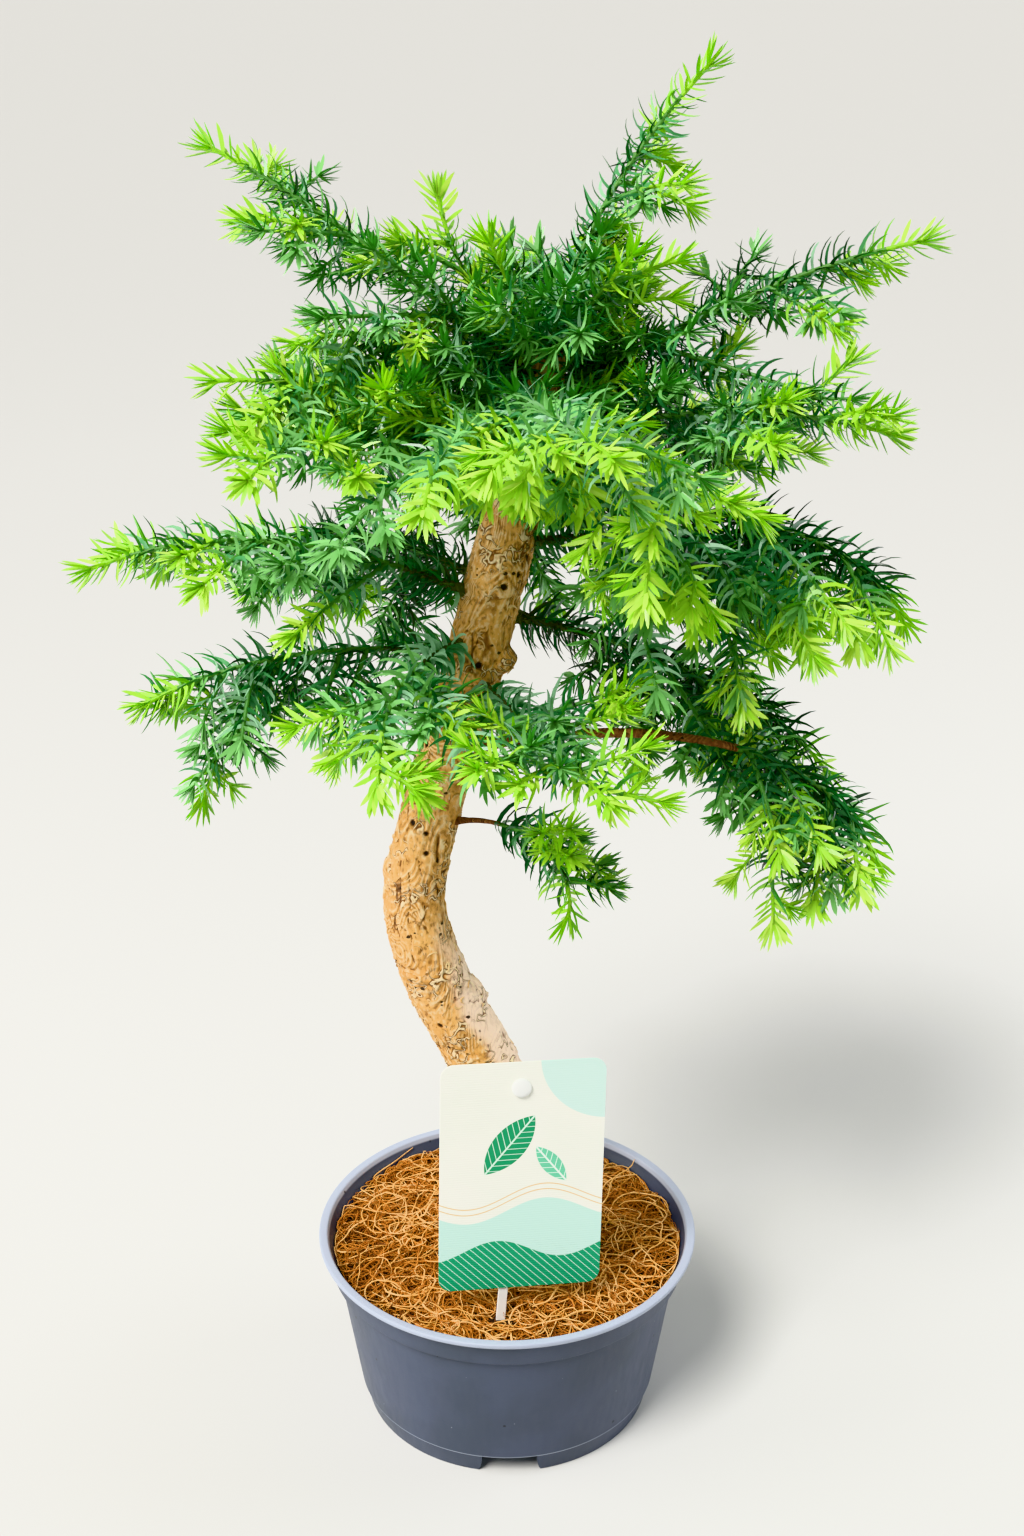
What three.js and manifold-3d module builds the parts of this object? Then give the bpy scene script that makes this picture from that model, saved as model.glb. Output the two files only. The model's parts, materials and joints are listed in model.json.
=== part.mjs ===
// Hoop pine bonsai in a round nursery pot, with a plant label on a stick.
// Millimetres, +Z up. The origin lies on the ground under the middle of the pot; -Y is the front.
import * as THREE from "three";
import { mergeVertices } from "three/addons/utils/BufferGeometryUtils.js";
import Module from "manifold-3d";

const wasm = await Module();
wasm.setup();

// Clear gap between neighbouring pieces
const GAP = 0.3;
// Vertices closer than WELD are one, and lengths under TINY count as nothing
const WELD = 1e-4;
const TINY = 1e-9;
const UP = new THREE.Vector3(0, 0, 1);
const radians = THREE.MathUtils.degToRad;

// Colour, roughness and metalness of each finish
const FINISHES = {
  bark: { color: 0xb98f5c, roughness: 0.85, metalness: 0 },
  twig: { color: 0x7b5335, roughness: 0.8, metalness: 0 },
  needles: { color: 0x3f8a3c, roughness: 0.5, metalness: 0 },
  pot: { color: 0x7d8794, roughness: 0.45, metalness: 0 },
  soil: { color: 0x9b6730, roughness: 0.95, metalness: 0 },
  card: { color: 0xe9f3ec, roughness: 0.4, metalness: 0 },
  plastic: { color: 0xf6f6f3, roughness: 0.35, metalness: 0 },
};

// The pot: a thin conical wall with a flared lip, a band under it, and a foot skirt with drain notches
const POT = {
  sides: 40,
  wall: 2,
  height: 95.3,
  lipRadius: 95,
  lipWidth: 4.2,
  lipDepth: 2.4,
  lipEdge: 0.6,
  lipSlope: 1.5,
  bandTopRadius: 91.5,
  bandFootRadius: 89.2,
  bandFoot: 79.3,
  stepWidth: 3.2,
  stepHeight: 1,
  skirtTop: 11.5,
  skirtTopRadius: 75.6,
  skirtInset: 0.8,
  skirtStep: 0.6,
  footRadius: 72.2,
  floorUnder: 11,
  floorTop: 13,
  notches: 3,
  notchAzimuth: -89,
  notchWidth: 27,
  notchHeight: 10.8,
  notchDepth: 20,
  drains: 6,
  drainRadius: 4.5,
  drainCircle: 56,
  drainDepth: 12,
  drainSides: 8,
};
const BAND_TOP = POT.height - POT.lipDepth - POT.lipSlope;
const BODY_TOP_RADIUS = POT.bandFootRadius - POT.stepWidth;

// The soil: a low dome with a flat seat for the trunk
const SOIL = {
  sides: 40,
  wallHeight: 83,
  shoulderHeight: 86,
  seatHeight: 87.4,
  seatRadius: 46,
};

// The trunk's stations from its cut at the soil to its tip
const TRUNK = {
  sides: 12,
  rings: 26,
  flareLobes: 5,
  flareDepth: 0.13,
  flareHeight: 45,
  clearShare: 1.1,
  stations: [
    { height: SOIL.seatHeight + GAP, x: 18, y: 6, diameter: 47 },
    { height: 105, x: 14, y: 5, diameter: 38 },
    { height: 145, x: 4, y: 3, diameter: 34.5 },
    { height: 192, x: -11.5, y: 0, diameter: 33 },
    { height: 240, x: -33, y: -5, diameter: 31 },
    { height: 283, x: -43, y: -8, diameter: 29 },
    { height: 330, x: -34.5, y: -6, diameter: 27.5 },
    { height: 381, x: -19.5, y: -2, diameter: 27 },
    { height: 455, x: -0.5, y: 3, diameter: 26 },
    { height: 505, x: 13, y: 3, diameter: 21 },
    { height: 540, x: 19, y: 2, diameter: 12 },
  ],
};

// Stubs of cut branches that stand out of the trunk
const STUBS = [
  { height: 402, azimuth: -20, radius: 5.5, reach: 5 },
  { height: 300, azimuth: 165, radius: 5, reach: 1.8 },
  { height: 232, azimuth: 20, radius: 6, reach: 2.6 },
];
const STUB = { sides: 8, rootShare: 1.3, endShare: 0.8 };

// The boughs. height is where the limb's axis leaves the trunk's, azimuth counts from +X towards +Y,
// the back, rise is its first slope, and droop and swing are how far it bends down and sideways by its tip.
// bare is the limb up to its foliage; hang, reach and seed set how that foliage's shoots droop, how long
// they are, and their chance turns.
const BOUGHS = [
  { name: "leader", height: 538, azimuth: 70, rise: 60, droop: -12, swing: -85,
    length: 140, bare: 30, hang: 0.8, reach: 0.8, seed: 72 },
  { name: "top_left", height: 522, azimuth: 168, rise: 40, droop: -14, swing: 2,
    length: 174, bare: 40, hang: 0.2, reach: 1, seed: 64 },
  { name: "upper_right", height: 515, azimuth: 12, rise: 30, droop: -19, swing: -10,
    length: 178, bare: 44, hang: 0.2, reach: 0.8, seed: 79 },
  { name: "top_mid", height: 530, azimuth: 150, rise: 34, droop: 40, swing: -14,
    length: 92, bare: 28, hang: 0.2, reach: 0.8, seed: 99 },
  { name: "top_front", height: 534, azimuth: -38, rise: 54, droop: -8, swing: 5,
    length: 66, bare: 24, hang: 0.2, reach: 1.2, seed: 36 },
  { name: "small_left", height: 510, azimuth: -172, rise: 44, droop: -62, swing: -2,
    length: 114, bare: 34, hang: 0.8, reach: 1.2, seed: 81 },
  { name: "left_upper", height: 498, azimuth: -158, rise: 26, droop: -26, swing: -12,
    length: 142, bare: 36, hang: 0.8, reach: 1, seed: 69 },
  { name: "front_left", height: 488, azimuth: -168, rise: 22, droop: -32, swing: 66,
    length: 166, bare: 40, hang: -0.2, reach: 0.8, seed: 29 },
  { name: "front_mid_left", height: 502, azimuth: -118, rise: 22, droop: -46, swing: 22,
    length: 152, bare: 42, hang: 0.8, reach: 1.2, seed: 27 },
  { name: "front_mid", height: 514, azimuth: -98, rise: 17, droop: -24, swing: 34,
    length: 156, bare: 40, hang: 0.8, reach: 1.2, seed: 61 },
  { name: "mid_right", height: 502, azimuth: -16, rise: 16, droop: -30, swing: 6,
    length: 154, bare: 40, hang: -0.2, reach: 1, seed: 48 },
  { name: "front_right", height: 488, azimuth: -60, rise: 12, droop: -10, swing: 8,
    length: 140, bare: 40, hang: 0.8, reach: 1.2, seed: 61 },
  { name: "back_right", height: 490, azimuth: 62, rise: 4, droop: -40, swing: -32,
    length: 176, bare: 42, hang: -0.2, reach: 1.2, seed: 92 },
  { name: "back_left", height: 484, azimuth: 126, rise: 16, droop: -34, swing: 6,
    length: 170, bare: 42, hang: -0.2, reach: 1, seed: 57 },
  { name: "back_top", height: 526, azimuth: 84, rise: 28, droop: -34, swing: 16,
    length: 130, bare: 34, hang: 0.8, reach: 1, seed: 54 },
  { name: "far_right", height: 470, azimuth: -24, rise: 10, droop: -68, swing: 60,
    length: 206, bare: 48, hang: 0.8, reach: 1, seed: 80 },
  { name: "front_right_mid", height: 452, azimuth: -8, rise: 16, droop: -68, swing: -34,
    length: 158, bare: 42, hang: 0.8, reach: 1.2, seed: 60 },
  { name: "mid_left", height: 428, azimuth: -174, rise: 26, droop: -46, swing: 4,
    length: 180, bare: 40, hang: 0.2, reach: 0.8, seed: 83 },
  { name: "back_mid", height: 455, azimuth: 92, rise: 6, droop: -30, swing: -10,
    length: 142, bare: 42, hang: 0.8, reach: 1.2, seed: 18 },
  { name: "back_low_left", height: 436, azimuth: 138, rise: 8, droop: -36, swing: -14,
    length: 160, bare: 40, hang: 0.8, reach: 1.2, seed: 79 },
  { name: "low_left", height: 404, azimuth: 178, rise: 5, droop: -30, swing: 16,
    length: 152, bare: 40, hang: 0.8, reach: 0.8, seed: 54 },
  { name: "low_front", height: 412, azimuth: -138, rise: 2, droop: -46, swing: 52,
    length: 116, bare: 38, hang: 0.2, reach: 1.2, seed: 25 },
  { name: "low_front_right", height: 394, azimuth: -60, rise: -6, droop: -6, swing: 0,
    length: 118, bare: 38, hang: -0.2, reach: 1.2, seed: 40 },
  { name: "back_low_right", height: 424, azimuth: 10, rise: -16, droop: -36, swing: 18,
    length: 205, bare: 48, hang: 0.8, reach: 1.2, seed: 36 },
  { name: "under_right", height: 358, azimuth: -20, rise: 18, droop: -86, swing: 48,
    length: 236, bare: 132, hang: 0.8, reach: 1, seed: 5 },
  { name: "lowest", height: 321, azimuth: -22, rise: 24, droop: -128, swing: 2,
    length: 98, bare: 36, hang: -0.2, reach: 1.2, seed: 73 },
];

// How every bough bends and tapers; clearShare and clearSteps are how twigs and needles see it
const LIMB = {
  steps: 24,
  bend: 1.5,
  sides: 6,
  ringStep: 13,
  rootRadius: 0.9,
  radiusPerLength: 0.009,
  endShare: 0.55,
  collar: 0.4,
  collarReach: 9,
  clearShare: 1.5,
  clearSteps: 6,
};

// How side shoots leave a stem: alternately left and right, leaning forward, shorter towards the tip
const SHOOT = {
  first: 9,
  last: 24,
  gap: 26,
  gapSpread: 0.4,
  lean: 44,
  leanSpread: 22,
  roll: 90,
  rollHang: 45,
  rollSpread: 70,
  size: 22,
  sizePerLength: 0.4,
  sizeSpread: 0.5,
  longest: 78,
  shortest: 15,
  sag: 0.5,
  steps: 6,
  stepsAtStem: 2,
  rootRadius: 1.5,
  tipRadius: 1,
  seedStep: 17,
};

// Needles stand in whorls of three on a three-sided core; the young ones at a tip are longer and
// point forward
const NEEDLE = {
  sides: 3,
  pitch: 9.5,
  first: 6,
  twist: 37,
  length: 17,
  spread: 64,
  youngLength: 20,
  youngSpread: 42,
  youngReach: 26,
  bud: 9,
  radius: 1.3,
  clear: 1.1,
  stemTipRadius: 1.1,
};

// The plant label: a card held by a pin on a stick that stands in the soil
const LABEL = {
  center: [7, -55, 162],
  yaw: 8.7,
  lean: -4.3,
  roll: 1.7,
  width: 78,
  height: 120,
  thickness: 0.7,
  corner: 6.5,
  cornerSteps: 4,
  pinX: -1,
  pinZ: 47,
  pinRadius: 4.65,
  pinDepth: 2.4,
  pinSides: 12,
  domeFoot: 0.55,
  domeShoulder: 0.9,
  domeWidth: 0.72,
  shankRadius: 1.6,
  stickWidth: 4.5,
  stickThickness: 1.6,
  stickTop: 53,
  stickFootX: -8.5,
  stickFootZ: -77.5,
  stickBuried: 38,
};

// A repeatable chance value from 0 to 1: the fraction of a steep wave
const CHANCE = { perSeed: 127.1, perIndex: 311.7, steepness: 43758.5453 };
function chance(seed, index) {
  const wave = Math.sin(seed * CHANCE.perSeed + index * CHANCE.perIndex) * CHANCE.steepness;
  return wave - Math.floor(wave);
}

// A closed surface as a solid, with its shared vertices merged and its faces pointing out
function solid(geometry) {
  const flat = geometry.index ? geometry.toNonIndexed() : geometry;
  const bare = new THREE.BufferGeometry().setAttribute("position", flat.getAttribute("position"));
  const merged = mergeVertices(bare, WELD);
  const place = merged.getAttribute("position");
  const corners = [0, 1, 2].map(() => new THREE.Vector3());
  const triangles = [];
  let volume = 0;
  for (let i = 0; i < merged.index.count; i += 3) {
    const face = [0, 1, 2].map((k) => merged.index.getX(i + k));
    if (new Set(face).size < 3) continue;
    triangles.push(face);
    face.forEach((vertex, k) => corners[k].fromBufferAttribute(place, vertex));
    volume += corners[0].dot(corners[1].clone().cross(corners[2]));
  }
  if (volume < 0) triangles.forEach((face) => face.reverse());
  const triVerts = new Uint32Array(triangles.flat());
  return new wasm.Manifold(new wasm.Mesh({ numProp: 3, vertProperties: place.array, triVerts }));
}

// A solid back as a named mesh in its finish
function mesh(name, body, finish) {
  const made = body.getMesh();
  const geometry = new THREE.BufferGeometry()
    .setAttribute("position", new THREE.BufferAttribute(made.vertProperties, 3))
    .setIndex(new THREE.BufferAttribute(made.triVerts, 1));
  geometry.computeVertexNormals();
  const piece = new THREE.Mesh(geometry, new THREE.MeshStandardMaterial(FINISHES[finish]));
  piece.name = name;
  return piece;
}

// A profile of [radius, height] points turned about +Z
function turned(profile, sides) {
  const points = profile.map(([radius, height]) => new THREE.Vector2(radius, height));
  return new THREE.LatheGeometry(points, sides).rotateX(Math.PI / 2);
}

// A skin through rings of points, closed by a flat cap at both ends
function loft(rings) {
  const count = rings[0].length;
  const position = rings.flat().flatMap((point) => [point.x, point.y, point.z]);
  const index = [];
  for (let r = 0; r + 1 < rings.length; r += 1) {
    for (let j = 0; j < count; j += 1) {
      const a = r * count + j;
      const b = r * count + ((j + 1) % count);
      index.push(a, b, b + count, a, b + count, a + count);
    }
  }
  const last = (rings.length - 1) * count;
  for (let j = 1; j + 1 < count; j += 1) {
    index.push(0, j + 1, j, last, last + j, last + j + 1);
  }
  return new THREE.BufferGeometry()
    .setAttribute("position", new THREE.Float32BufferAttribute(position, 3))
    .setIndex(index);
}

// The largest of a solid's separate bodies
function largest(body) {
  return body.decompose().sort((a, b) => b.volume() - a.volume())[0];
}

// The trunk's middle and radius at a height, on a smooth curve through its stations
function trunkAt(height) {
  const stations = TRUNK.stations;
  let i = 0;
  while (i + 2 < stations.length && height > stations[i + 1].height) i += 1;
  const [a, b] = [stations[i], stations[i + 1]];
  const before = stations[Math.max(i - 1, 0)];
  const after = stations[Math.min(i + 2, stations.length - 1)];
  const span = b.height - a.height;
  const t = (height - a.height) / span;
  const smooth = (key) => {
    const startSlope = ((b[key] - before[key]) / (b.height - before.height)) * span;
    const endSlope = ((after[key] - a[key]) / (after.height - a.height)) * span;
    return (
      a[key] * (2 * t ** 3 - 3 * t ** 2 + 1) +
      startSlope * (t ** 3 - 2 * t ** 2 + t) +
      b[key] * (3 * t ** 2 - 2 * t ** 3) +
      endSlope * (t ** 3 - t ** 2)
    );
  };
  return { x: smooth("x"), y: smooth("y"), radius: smooth("diameter") / 2 };
}

// The trunk as level rings, widened by extra all round; the root flare fades out upwards
function trunkSolid(extra) {
  const foot = TRUNK.stations[0].height;
  const top = TRUNK.stations.at(-1).height;
  const rings = [];
  for (let r = 0; r < TRUNK.rings; r += 1) {
    const height = foot + ((top - foot) * r) / (TRUNK.rings - 1);
    const here = trunkAt(height);
    const probe = trunkAt(Math.min(height + 1, top));
    const slope = r + 1 < TRUNK.rings ? Math.hypot(probe.x - here.x, probe.y - here.y) : 0;
    const stretch = Math.hypot(1, slope);
    const flare = TRUNK.flareDepth * Math.max(0, 1 - (height - foot) / TRUNK.flareHeight);
    const ring = [];
    for (let j = 0; j < TRUNK.sides; j += 1) {
      const turn = (j / TRUNK.sides) * 2 * Math.PI;
      const radius = here.radius * (1 + flare * Math.cos(TRUNK.flareLobes * turn)) + extra;
      const level = r + 1 === TRUNK.rings ? height + extra : height;
      const x = here.x + radius * stretch * Math.cos(turn);
      ring.push(new THREE.Vector3(x, here.y + radius * Math.sin(turn), level));
    }
    rings.push(ring);
  }
  return solid(loft(rings));
}

// A short stub where a branch was cut off
function stubSolid({ height, azimuth, radius, reach }) {
  const here = trunkAt(height);
  const turn = radians(azimuth);
  const length = here.radius + reach;
  const geometry = new THREE.CylinderGeometry(
    radius * STUB.endShare,
    radius * STUB.rootShare,
    length,
    STUB.sides,
  )
    .translate(0, length / 2, 0)
    .rotateZ(-Math.PI / 2)
    .rotateZ(turn)
    .translate(here.x, here.y, height);
  return solid(geometry);
}

// The trunk with its stubs, widened by extra
function trunkWithStubs(extra) {
  const stubs = STUBS.map((stub) =>
    stubSolid({ ...stub, radius: stub.radius + extra, reach: stub.reach + extra }),
  );
  return stubs.reduce((whole, stub) => whole.add(stub), trunkSolid(extra));
}

// A path of points with a direction at each, which can be read at any distance from its root
function pathThrough(points, directions) {
  const step = points[1].distanceTo(points[0]);
  const at = (distance) => {
    const along = Math.min(Math.max(distance / step, 0), points.length - 1 - TINY);
    const i = Math.floor(along);
    return {
      point: points[i].clone().lerp(points[i + 1], along - i),
      direction: directions[i].clone().lerp(directions[i + 1], along - i).normalize(),
    };
  };
  return { points, length: step * (points.length - 1), at };
}

// A bough's whole axis, from the trunk's middle to the tip of its foliage
function boughPath({ height, azimuth, rise, droop, swing, length }) {
  const root = trunkAt(height);
  const points = [new THREE.Vector3(root.x, root.y, height)];
  const directions = [];
  for (let i = 0; i <= LIMB.steps; i += 1) {
    const t = Math.min((i + 0.5) / LIMB.steps, 1);
    const pitch = radians(rise + droop * t ** LIMB.bend);
    const turn = radians(azimuth + swing * t);
    const level = Math.cos(pitch);
    directions.push(new THREE.Vector3(level * Math.cos(turn), level * Math.sin(turn), Math.sin(pitch)));
    if (i < LIMB.steps) points.push(points[i].clone().addScaledVector(directions[i], length / LIMB.steps));
  }
  return pathThrough(points, directions);
}

// A bough's radius at a distance along its bare limb
function limbRadius(bough, distance) {
  const root = LIMB.rootRadius + LIMB.radiusPerLength * bough.length;
  const taper = 1 - (1 - LIMB.endShare) * (distance / bough.bare);
  const outside = distance - trunkAt(bough.height).radius;
  const collar = LIMB.collar * THREE.MathUtils.clamp(1 - outside / LIMB.collarReach, 0, 1);
  return root * (taper + collar);
}

// Two directions square to a path's direction
function sideways(direction) {
  const side = direction.clone().cross(UP).normalize();
  return { side, top: side.clone().cross(direction) };
}

// A ring of points round a path's place
function ringAround({ point, direction }, radius, sides, twist) {
  const { side, top } = sideways(direction);
  const ring = [];
  for (let j = 0; j < sides; j += 1) {
    const turn = twist - (j / sides) * 2 * Math.PI;
    const place = point.clone().addScaledVector(side, radius * Math.cos(turn));
    ring.push(place.addScaledVector(top, radius * Math.sin(turn)));
  }
  return ring;
}

// A bough's bare limb, widened by extra
function limbSolid(bough, path, extra) {
  const count = Math.ceil(bough.bare / LIMB.ringStep);
  const rings = [];
  for (let i = 0; i <= count; i += 1) {
    const distance = (bough.bare * i) / count;
    rings.push(ringAround(path.at(distance), limbRadius(bough, distance) + extra, LIMB.sides, 0));
  }
  return solid(loft(rings));
}

// The shortest distance between two straight stretches
function stretchGap(a, b, c, d) {
  const u = b.clone().sub(a);
  const v = d.clone().sub(c);
  const w = a.clone().sub(c);
  const uu = u.dot(u);
  const uv = u.dot(v);
  const vv = v.dot(v);
  const uw = u.dot(w);
  const vw = v.dot(w);
  const clamp = (value) => THREE.MathUtils.clamp(value, 0, 1);
  const square = uu * vv - uv * uv;
  let s = square > TINY ? clamp((uv * vw - vv * uw) / square) : 0;
  const t = clamp((uv * s + vw) / vv);
  s = clamp((uv * t - uw) / uu);
  return w.addScaledVector(u, s).addScaledVector(v, -t).length();
}

// Everything that a twig or a needle has to keep clear of, as thick straight stretches
class Thicket {
  constructor() {
    this.stretches = [];
  }

  add(start, end, radius, owner) {
    this.stretches.push({ start, end, radius, owner });
  }

  addPath(path, from, to, radius, owner, steps) {
    for (let i = 0; i < steps; i += 1) {
      const start = path.at(from + ((to - from) * i) / steps).point;
      const end = path.at(from + ((to - from) * (i + 1)) / steps).point;
      this.add(start, end, radius, owner);
    }
  }

  addBud(path, to, radius, owner) {
    this.add(path.at(to).point, budPoint(path, to), radius, owner);
  }

  isClear(start, end, radius, ignored) {
    return this.stretches.every(
      (other) =>
        ignored.includes(other.owner) ||
        stretchGap(start, end, other.start, other.end) > radius + other.radius + NEEDLE.clear,
    );
  }
}

// The paths of a stem's side shoots, by chance from the bough's seed
function shootPaths(bough, path) {
  const shoots = [];
  let side = chance(bough.seed, 0) > 0.5 ? 1 : -1;
  let distance = bough.bare + SHOOT.first;
  for (let k = 0; distance < bough.length - SHOOT.last; k += 1) {
    const seed = bough.seed + SHOOT.seedStep * k;
    const { point, direction } = path.at(distance);
    const { side: across, top } = sideways(direction);
    const chanceRoll = SHOOT.rollSpread * (chance(seed, 1) - 0.5);
    const roll = side * radians(SHOOT.roll + SHOOT.rollHang * bough.hang + chanceRoll);
    const lean = radians(SHOOT.lean + SHOOT.leanSpread * chance(seed, 2));
    const share = 1 - SHOOT.sizeSpread / 2 + SHOOT.sizeSpread * chance(seed, 3);
    const size = bough.reach * (SHOOT.sizePerLength * (bough.length - distance) + SHOOT.size) * share;
    const step = Math.min(SHOOT.longest, size) / SHOOT.steps;
    const start = direction.clone().multiplyScalar(Math.cos(lean));
    start.addScaledVector(across, Math.sin(roll) * Math.sin(lean));
    start.addScaledVector(top, Math.cos(roll) * Math.sin(lean));
    const points = [point];
    const directions = [];
    for (let i = 0; i <= SHOOT.steps; i += 1) {
      const sag = SHOOT.sag * bough.hang * ((i + 0.5) / SHOOT.steps);
      directions.push(start.clone().addScaledVector(UP, -sag).normalize());
      if (i < SHOOT.steps) points.push(points[i].clone().addScaledVector(directions[i], step));
    }
    shoots.push(pathThrough(points, directions));
    distance += SHOOT.gap * (1 - SHOOT.gapSpread / 2 + SHOOT.gapSpread * chance(seed, 4));
    side = -side;
  }
  return shoots;
}

// The point of the bud that closes a core ending at a distance along its path
function budPoint(path, to) {
  const { point, direction } = path.at(to);
  return point.addScaledVector(direction, NEEDLE.bud);
}

// How far a shoot can grow, with its bud, before it would touch something
function clearReach(path, thicket, ignored) {
  const step = path.length / SHOOT.steps;
  let reach = 0;
  for (let i = 0; i < SHOOT.steps; i += 1) {
    const skip = i < SHOOT.stepsAtStem ? ignored : [];
    const start = path.at(reach).point;
    if (!thicket.isClear(start, budPoint(path, reach + step), SHOOT.rootRadius, skip)) break;
    reach += step;
  }
  return reach;
}

// One spray: a tapering three-sided core with whorls of needles, closed by a bud at its tip
class Spray {
  constructor(owner, path, from, to, rootRadius, tipRadius) {
    Object.assign(this, { owner, path, from, to, rootRadius, tipRadius });
  }

  radiusAt(distance) {
    return THREE.MathUtils.mapLinear(distance, this.from, this.to, this.rootRadius, this.tipRadius);
  }

  ring(distance, twist) {
    return ringAround(this.path.at(distance), this.radiusAt(distance), NEEDLE.sides, twist);
  }

  // The point of a needle that stands on a stretch of the core's face
  needlePoint(middle, distance) {
    const { point, direction } = this.path.at(distance);
    const out = middle.clone().sub(point).projectOnPlane(direction).normalize();
    const young = this.to - distance < NEEDLE.youngReach;
    const spread = radians(young ? NEEDLE.youngSpread : NEEDLE.spread);
    const length = young ? NEEDLE.youngLength : NEEDLE.length;
    out.multiplyScalar(Math.sin(spread)).addScaledVector(direction, Math.cos(spread));
    return middle.clone().addScaledVector(out, length);
  }

  solid(thicket) {
    const start = this.from + NEEDLE.first;
    const count = Math.max(1, Math.round((this.to - start) / NEEDLE.pitch));
    const pitch = (this.to - start) / count;
    const rings = [this.ring(this.from, 0)];
    for (let i = 0; i <= count; i += 1) {
      rings.push(this.ring(start + pitch * i, radians(NEEDLE.twist * i)));
    }
    const corners = [];
    const face = (...points) => corners.push(...points.flatMap((point) => point.toArray()));
    for (let r = 0; r + 1 < rings.length; r += 1) {
      for (let j = 0; j < NEEDLE.sides; j += 1) {
        const next = (j + 1) % NEEDLE.sides;
        const [a, b] = [rings[r][j], rings[r][next]];
        const [d, c] = [rings[r + 1][j], rings[r + 1][next]];
        const middle = a.clone().add(b).add(c).add(d).divideScalar(4);
        const point = this.needlePoint(middle, start + pitch * (r - 0.5));
        if (r > 0 && thicket.isClear(middle, point, NEEDLE.radius, [this.owner])) {
          thicket.add(middle, point, NEEDLE.radius, this.owner);
          face(a, b, point);
          face(b, c, point);
          face(c, d, point);
          face(d, a, point);
        } else {
          face(a, b, c);
          face(a, c, d);
        }
      }
    }
    const bud = budPoint(this.path, this.to);
    const end = rings.at(-1);
    face(...rings[0].toReversed());
    end.forEach((corner, j) => face(corner, end[(j + 1) % NEEDLE.sides], bud));
    const skin = new THREE.BufferGeometry();
    skin.setAttribute("position", new THREE.Float32BufferAttribute(corners, 3));
    return solid(skin);
  }
}

// The trunk, the boughs cut clear of it and of each other, and the foliage that each bough carries
function makeTree() {
  const tree = new THREE.Group();
  tree.add(mesh("trunk", trunkWithStubs(0), "bark"));

  const thicket = new Thicket();
  const foot = TRUNK.stations[0].height;
  const rise = (TRUNK.stations.at(-1).height - foot) / TRUNK.rings;
  for (let i = 0; i < TRUNK.rings; i += 1) {
    const [low, high] = [trunkAt(foot + rise * i), trunkAt(foot + rise * (i + 1))];
    const start = new THREE.Vector3(low.x, low.y, foot + rise * i);
    const end = new THREE.Vector3(high.x, high.y, foot + rise * (i + 1));
    thicket.add(start, end, low.radius * TRUNK.clearShare, "trunk");
  }

  const cutters = [trunkWithStubs(GAP)];
  const paths = BOUGHS.map(boughPath);
  const sprays = BOUGHS.map((bough, i) => {
    const path = paths[i];
    const limb = cutters.reduce((left, cutter) => left.subtract(cutter), limbSolid(bough, path, 0));
    cutters.push(limbSolid(bough, path, GAP));
    const limbName = "bough_" + bough.name;
    tree.add(mesh(limbName, largest(limb), "twig"));
    const root = trunkAt(bough.height).radius;
    const { name, bare, length } = bough;
    const radius = limbRadius(bough, bare);
    thicket.addPath(path, root, bare, radius * LIMB.clearShare, limbName, LIMB.clearSteps);
    thicket.addPath(path, bare, length, radius, name, LIMB.steps);
    thicket.addBud(path, length, NEEDLE.stemTipRadius, name);
    return [new Spray(name, path, bare + GAP, length, radius, NEEDLE.stemTipRadius)];
  });

  BOUGHS.forEach((bough, i) => {
    shootPaths(bough, paths[i]).forEach((path, k) => {
      const reach = clearReach(path, thicket, [bough.name]);
      if (reach < SHOOT.shortest) return;
      const owner = bough.name + "_" + k;
      sprays[i].push(new Spray(owner, path, 0, reach, SHOOT.rootRadius, SHOOT.tipRadius));
      thicket.addPath(path, reach / SHOOT.steps, reach, SHOOT.rootRadius, owner, SHOOT.steps);
      thicket.addBud(path, reach, SHOOT.tipRadius, owner);
    });
  });

  BOUGHS.forEach((bough, i) => {
    const pieces = sprays[i].map((spray) => spray.solid(thicket));
    const mass = pieces.reduce((whole, piece) => whole.add(piece));
    tree.add(mesh("foliage_" + bough.name, mass, "needles"));
  });
  return tree;
}

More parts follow.
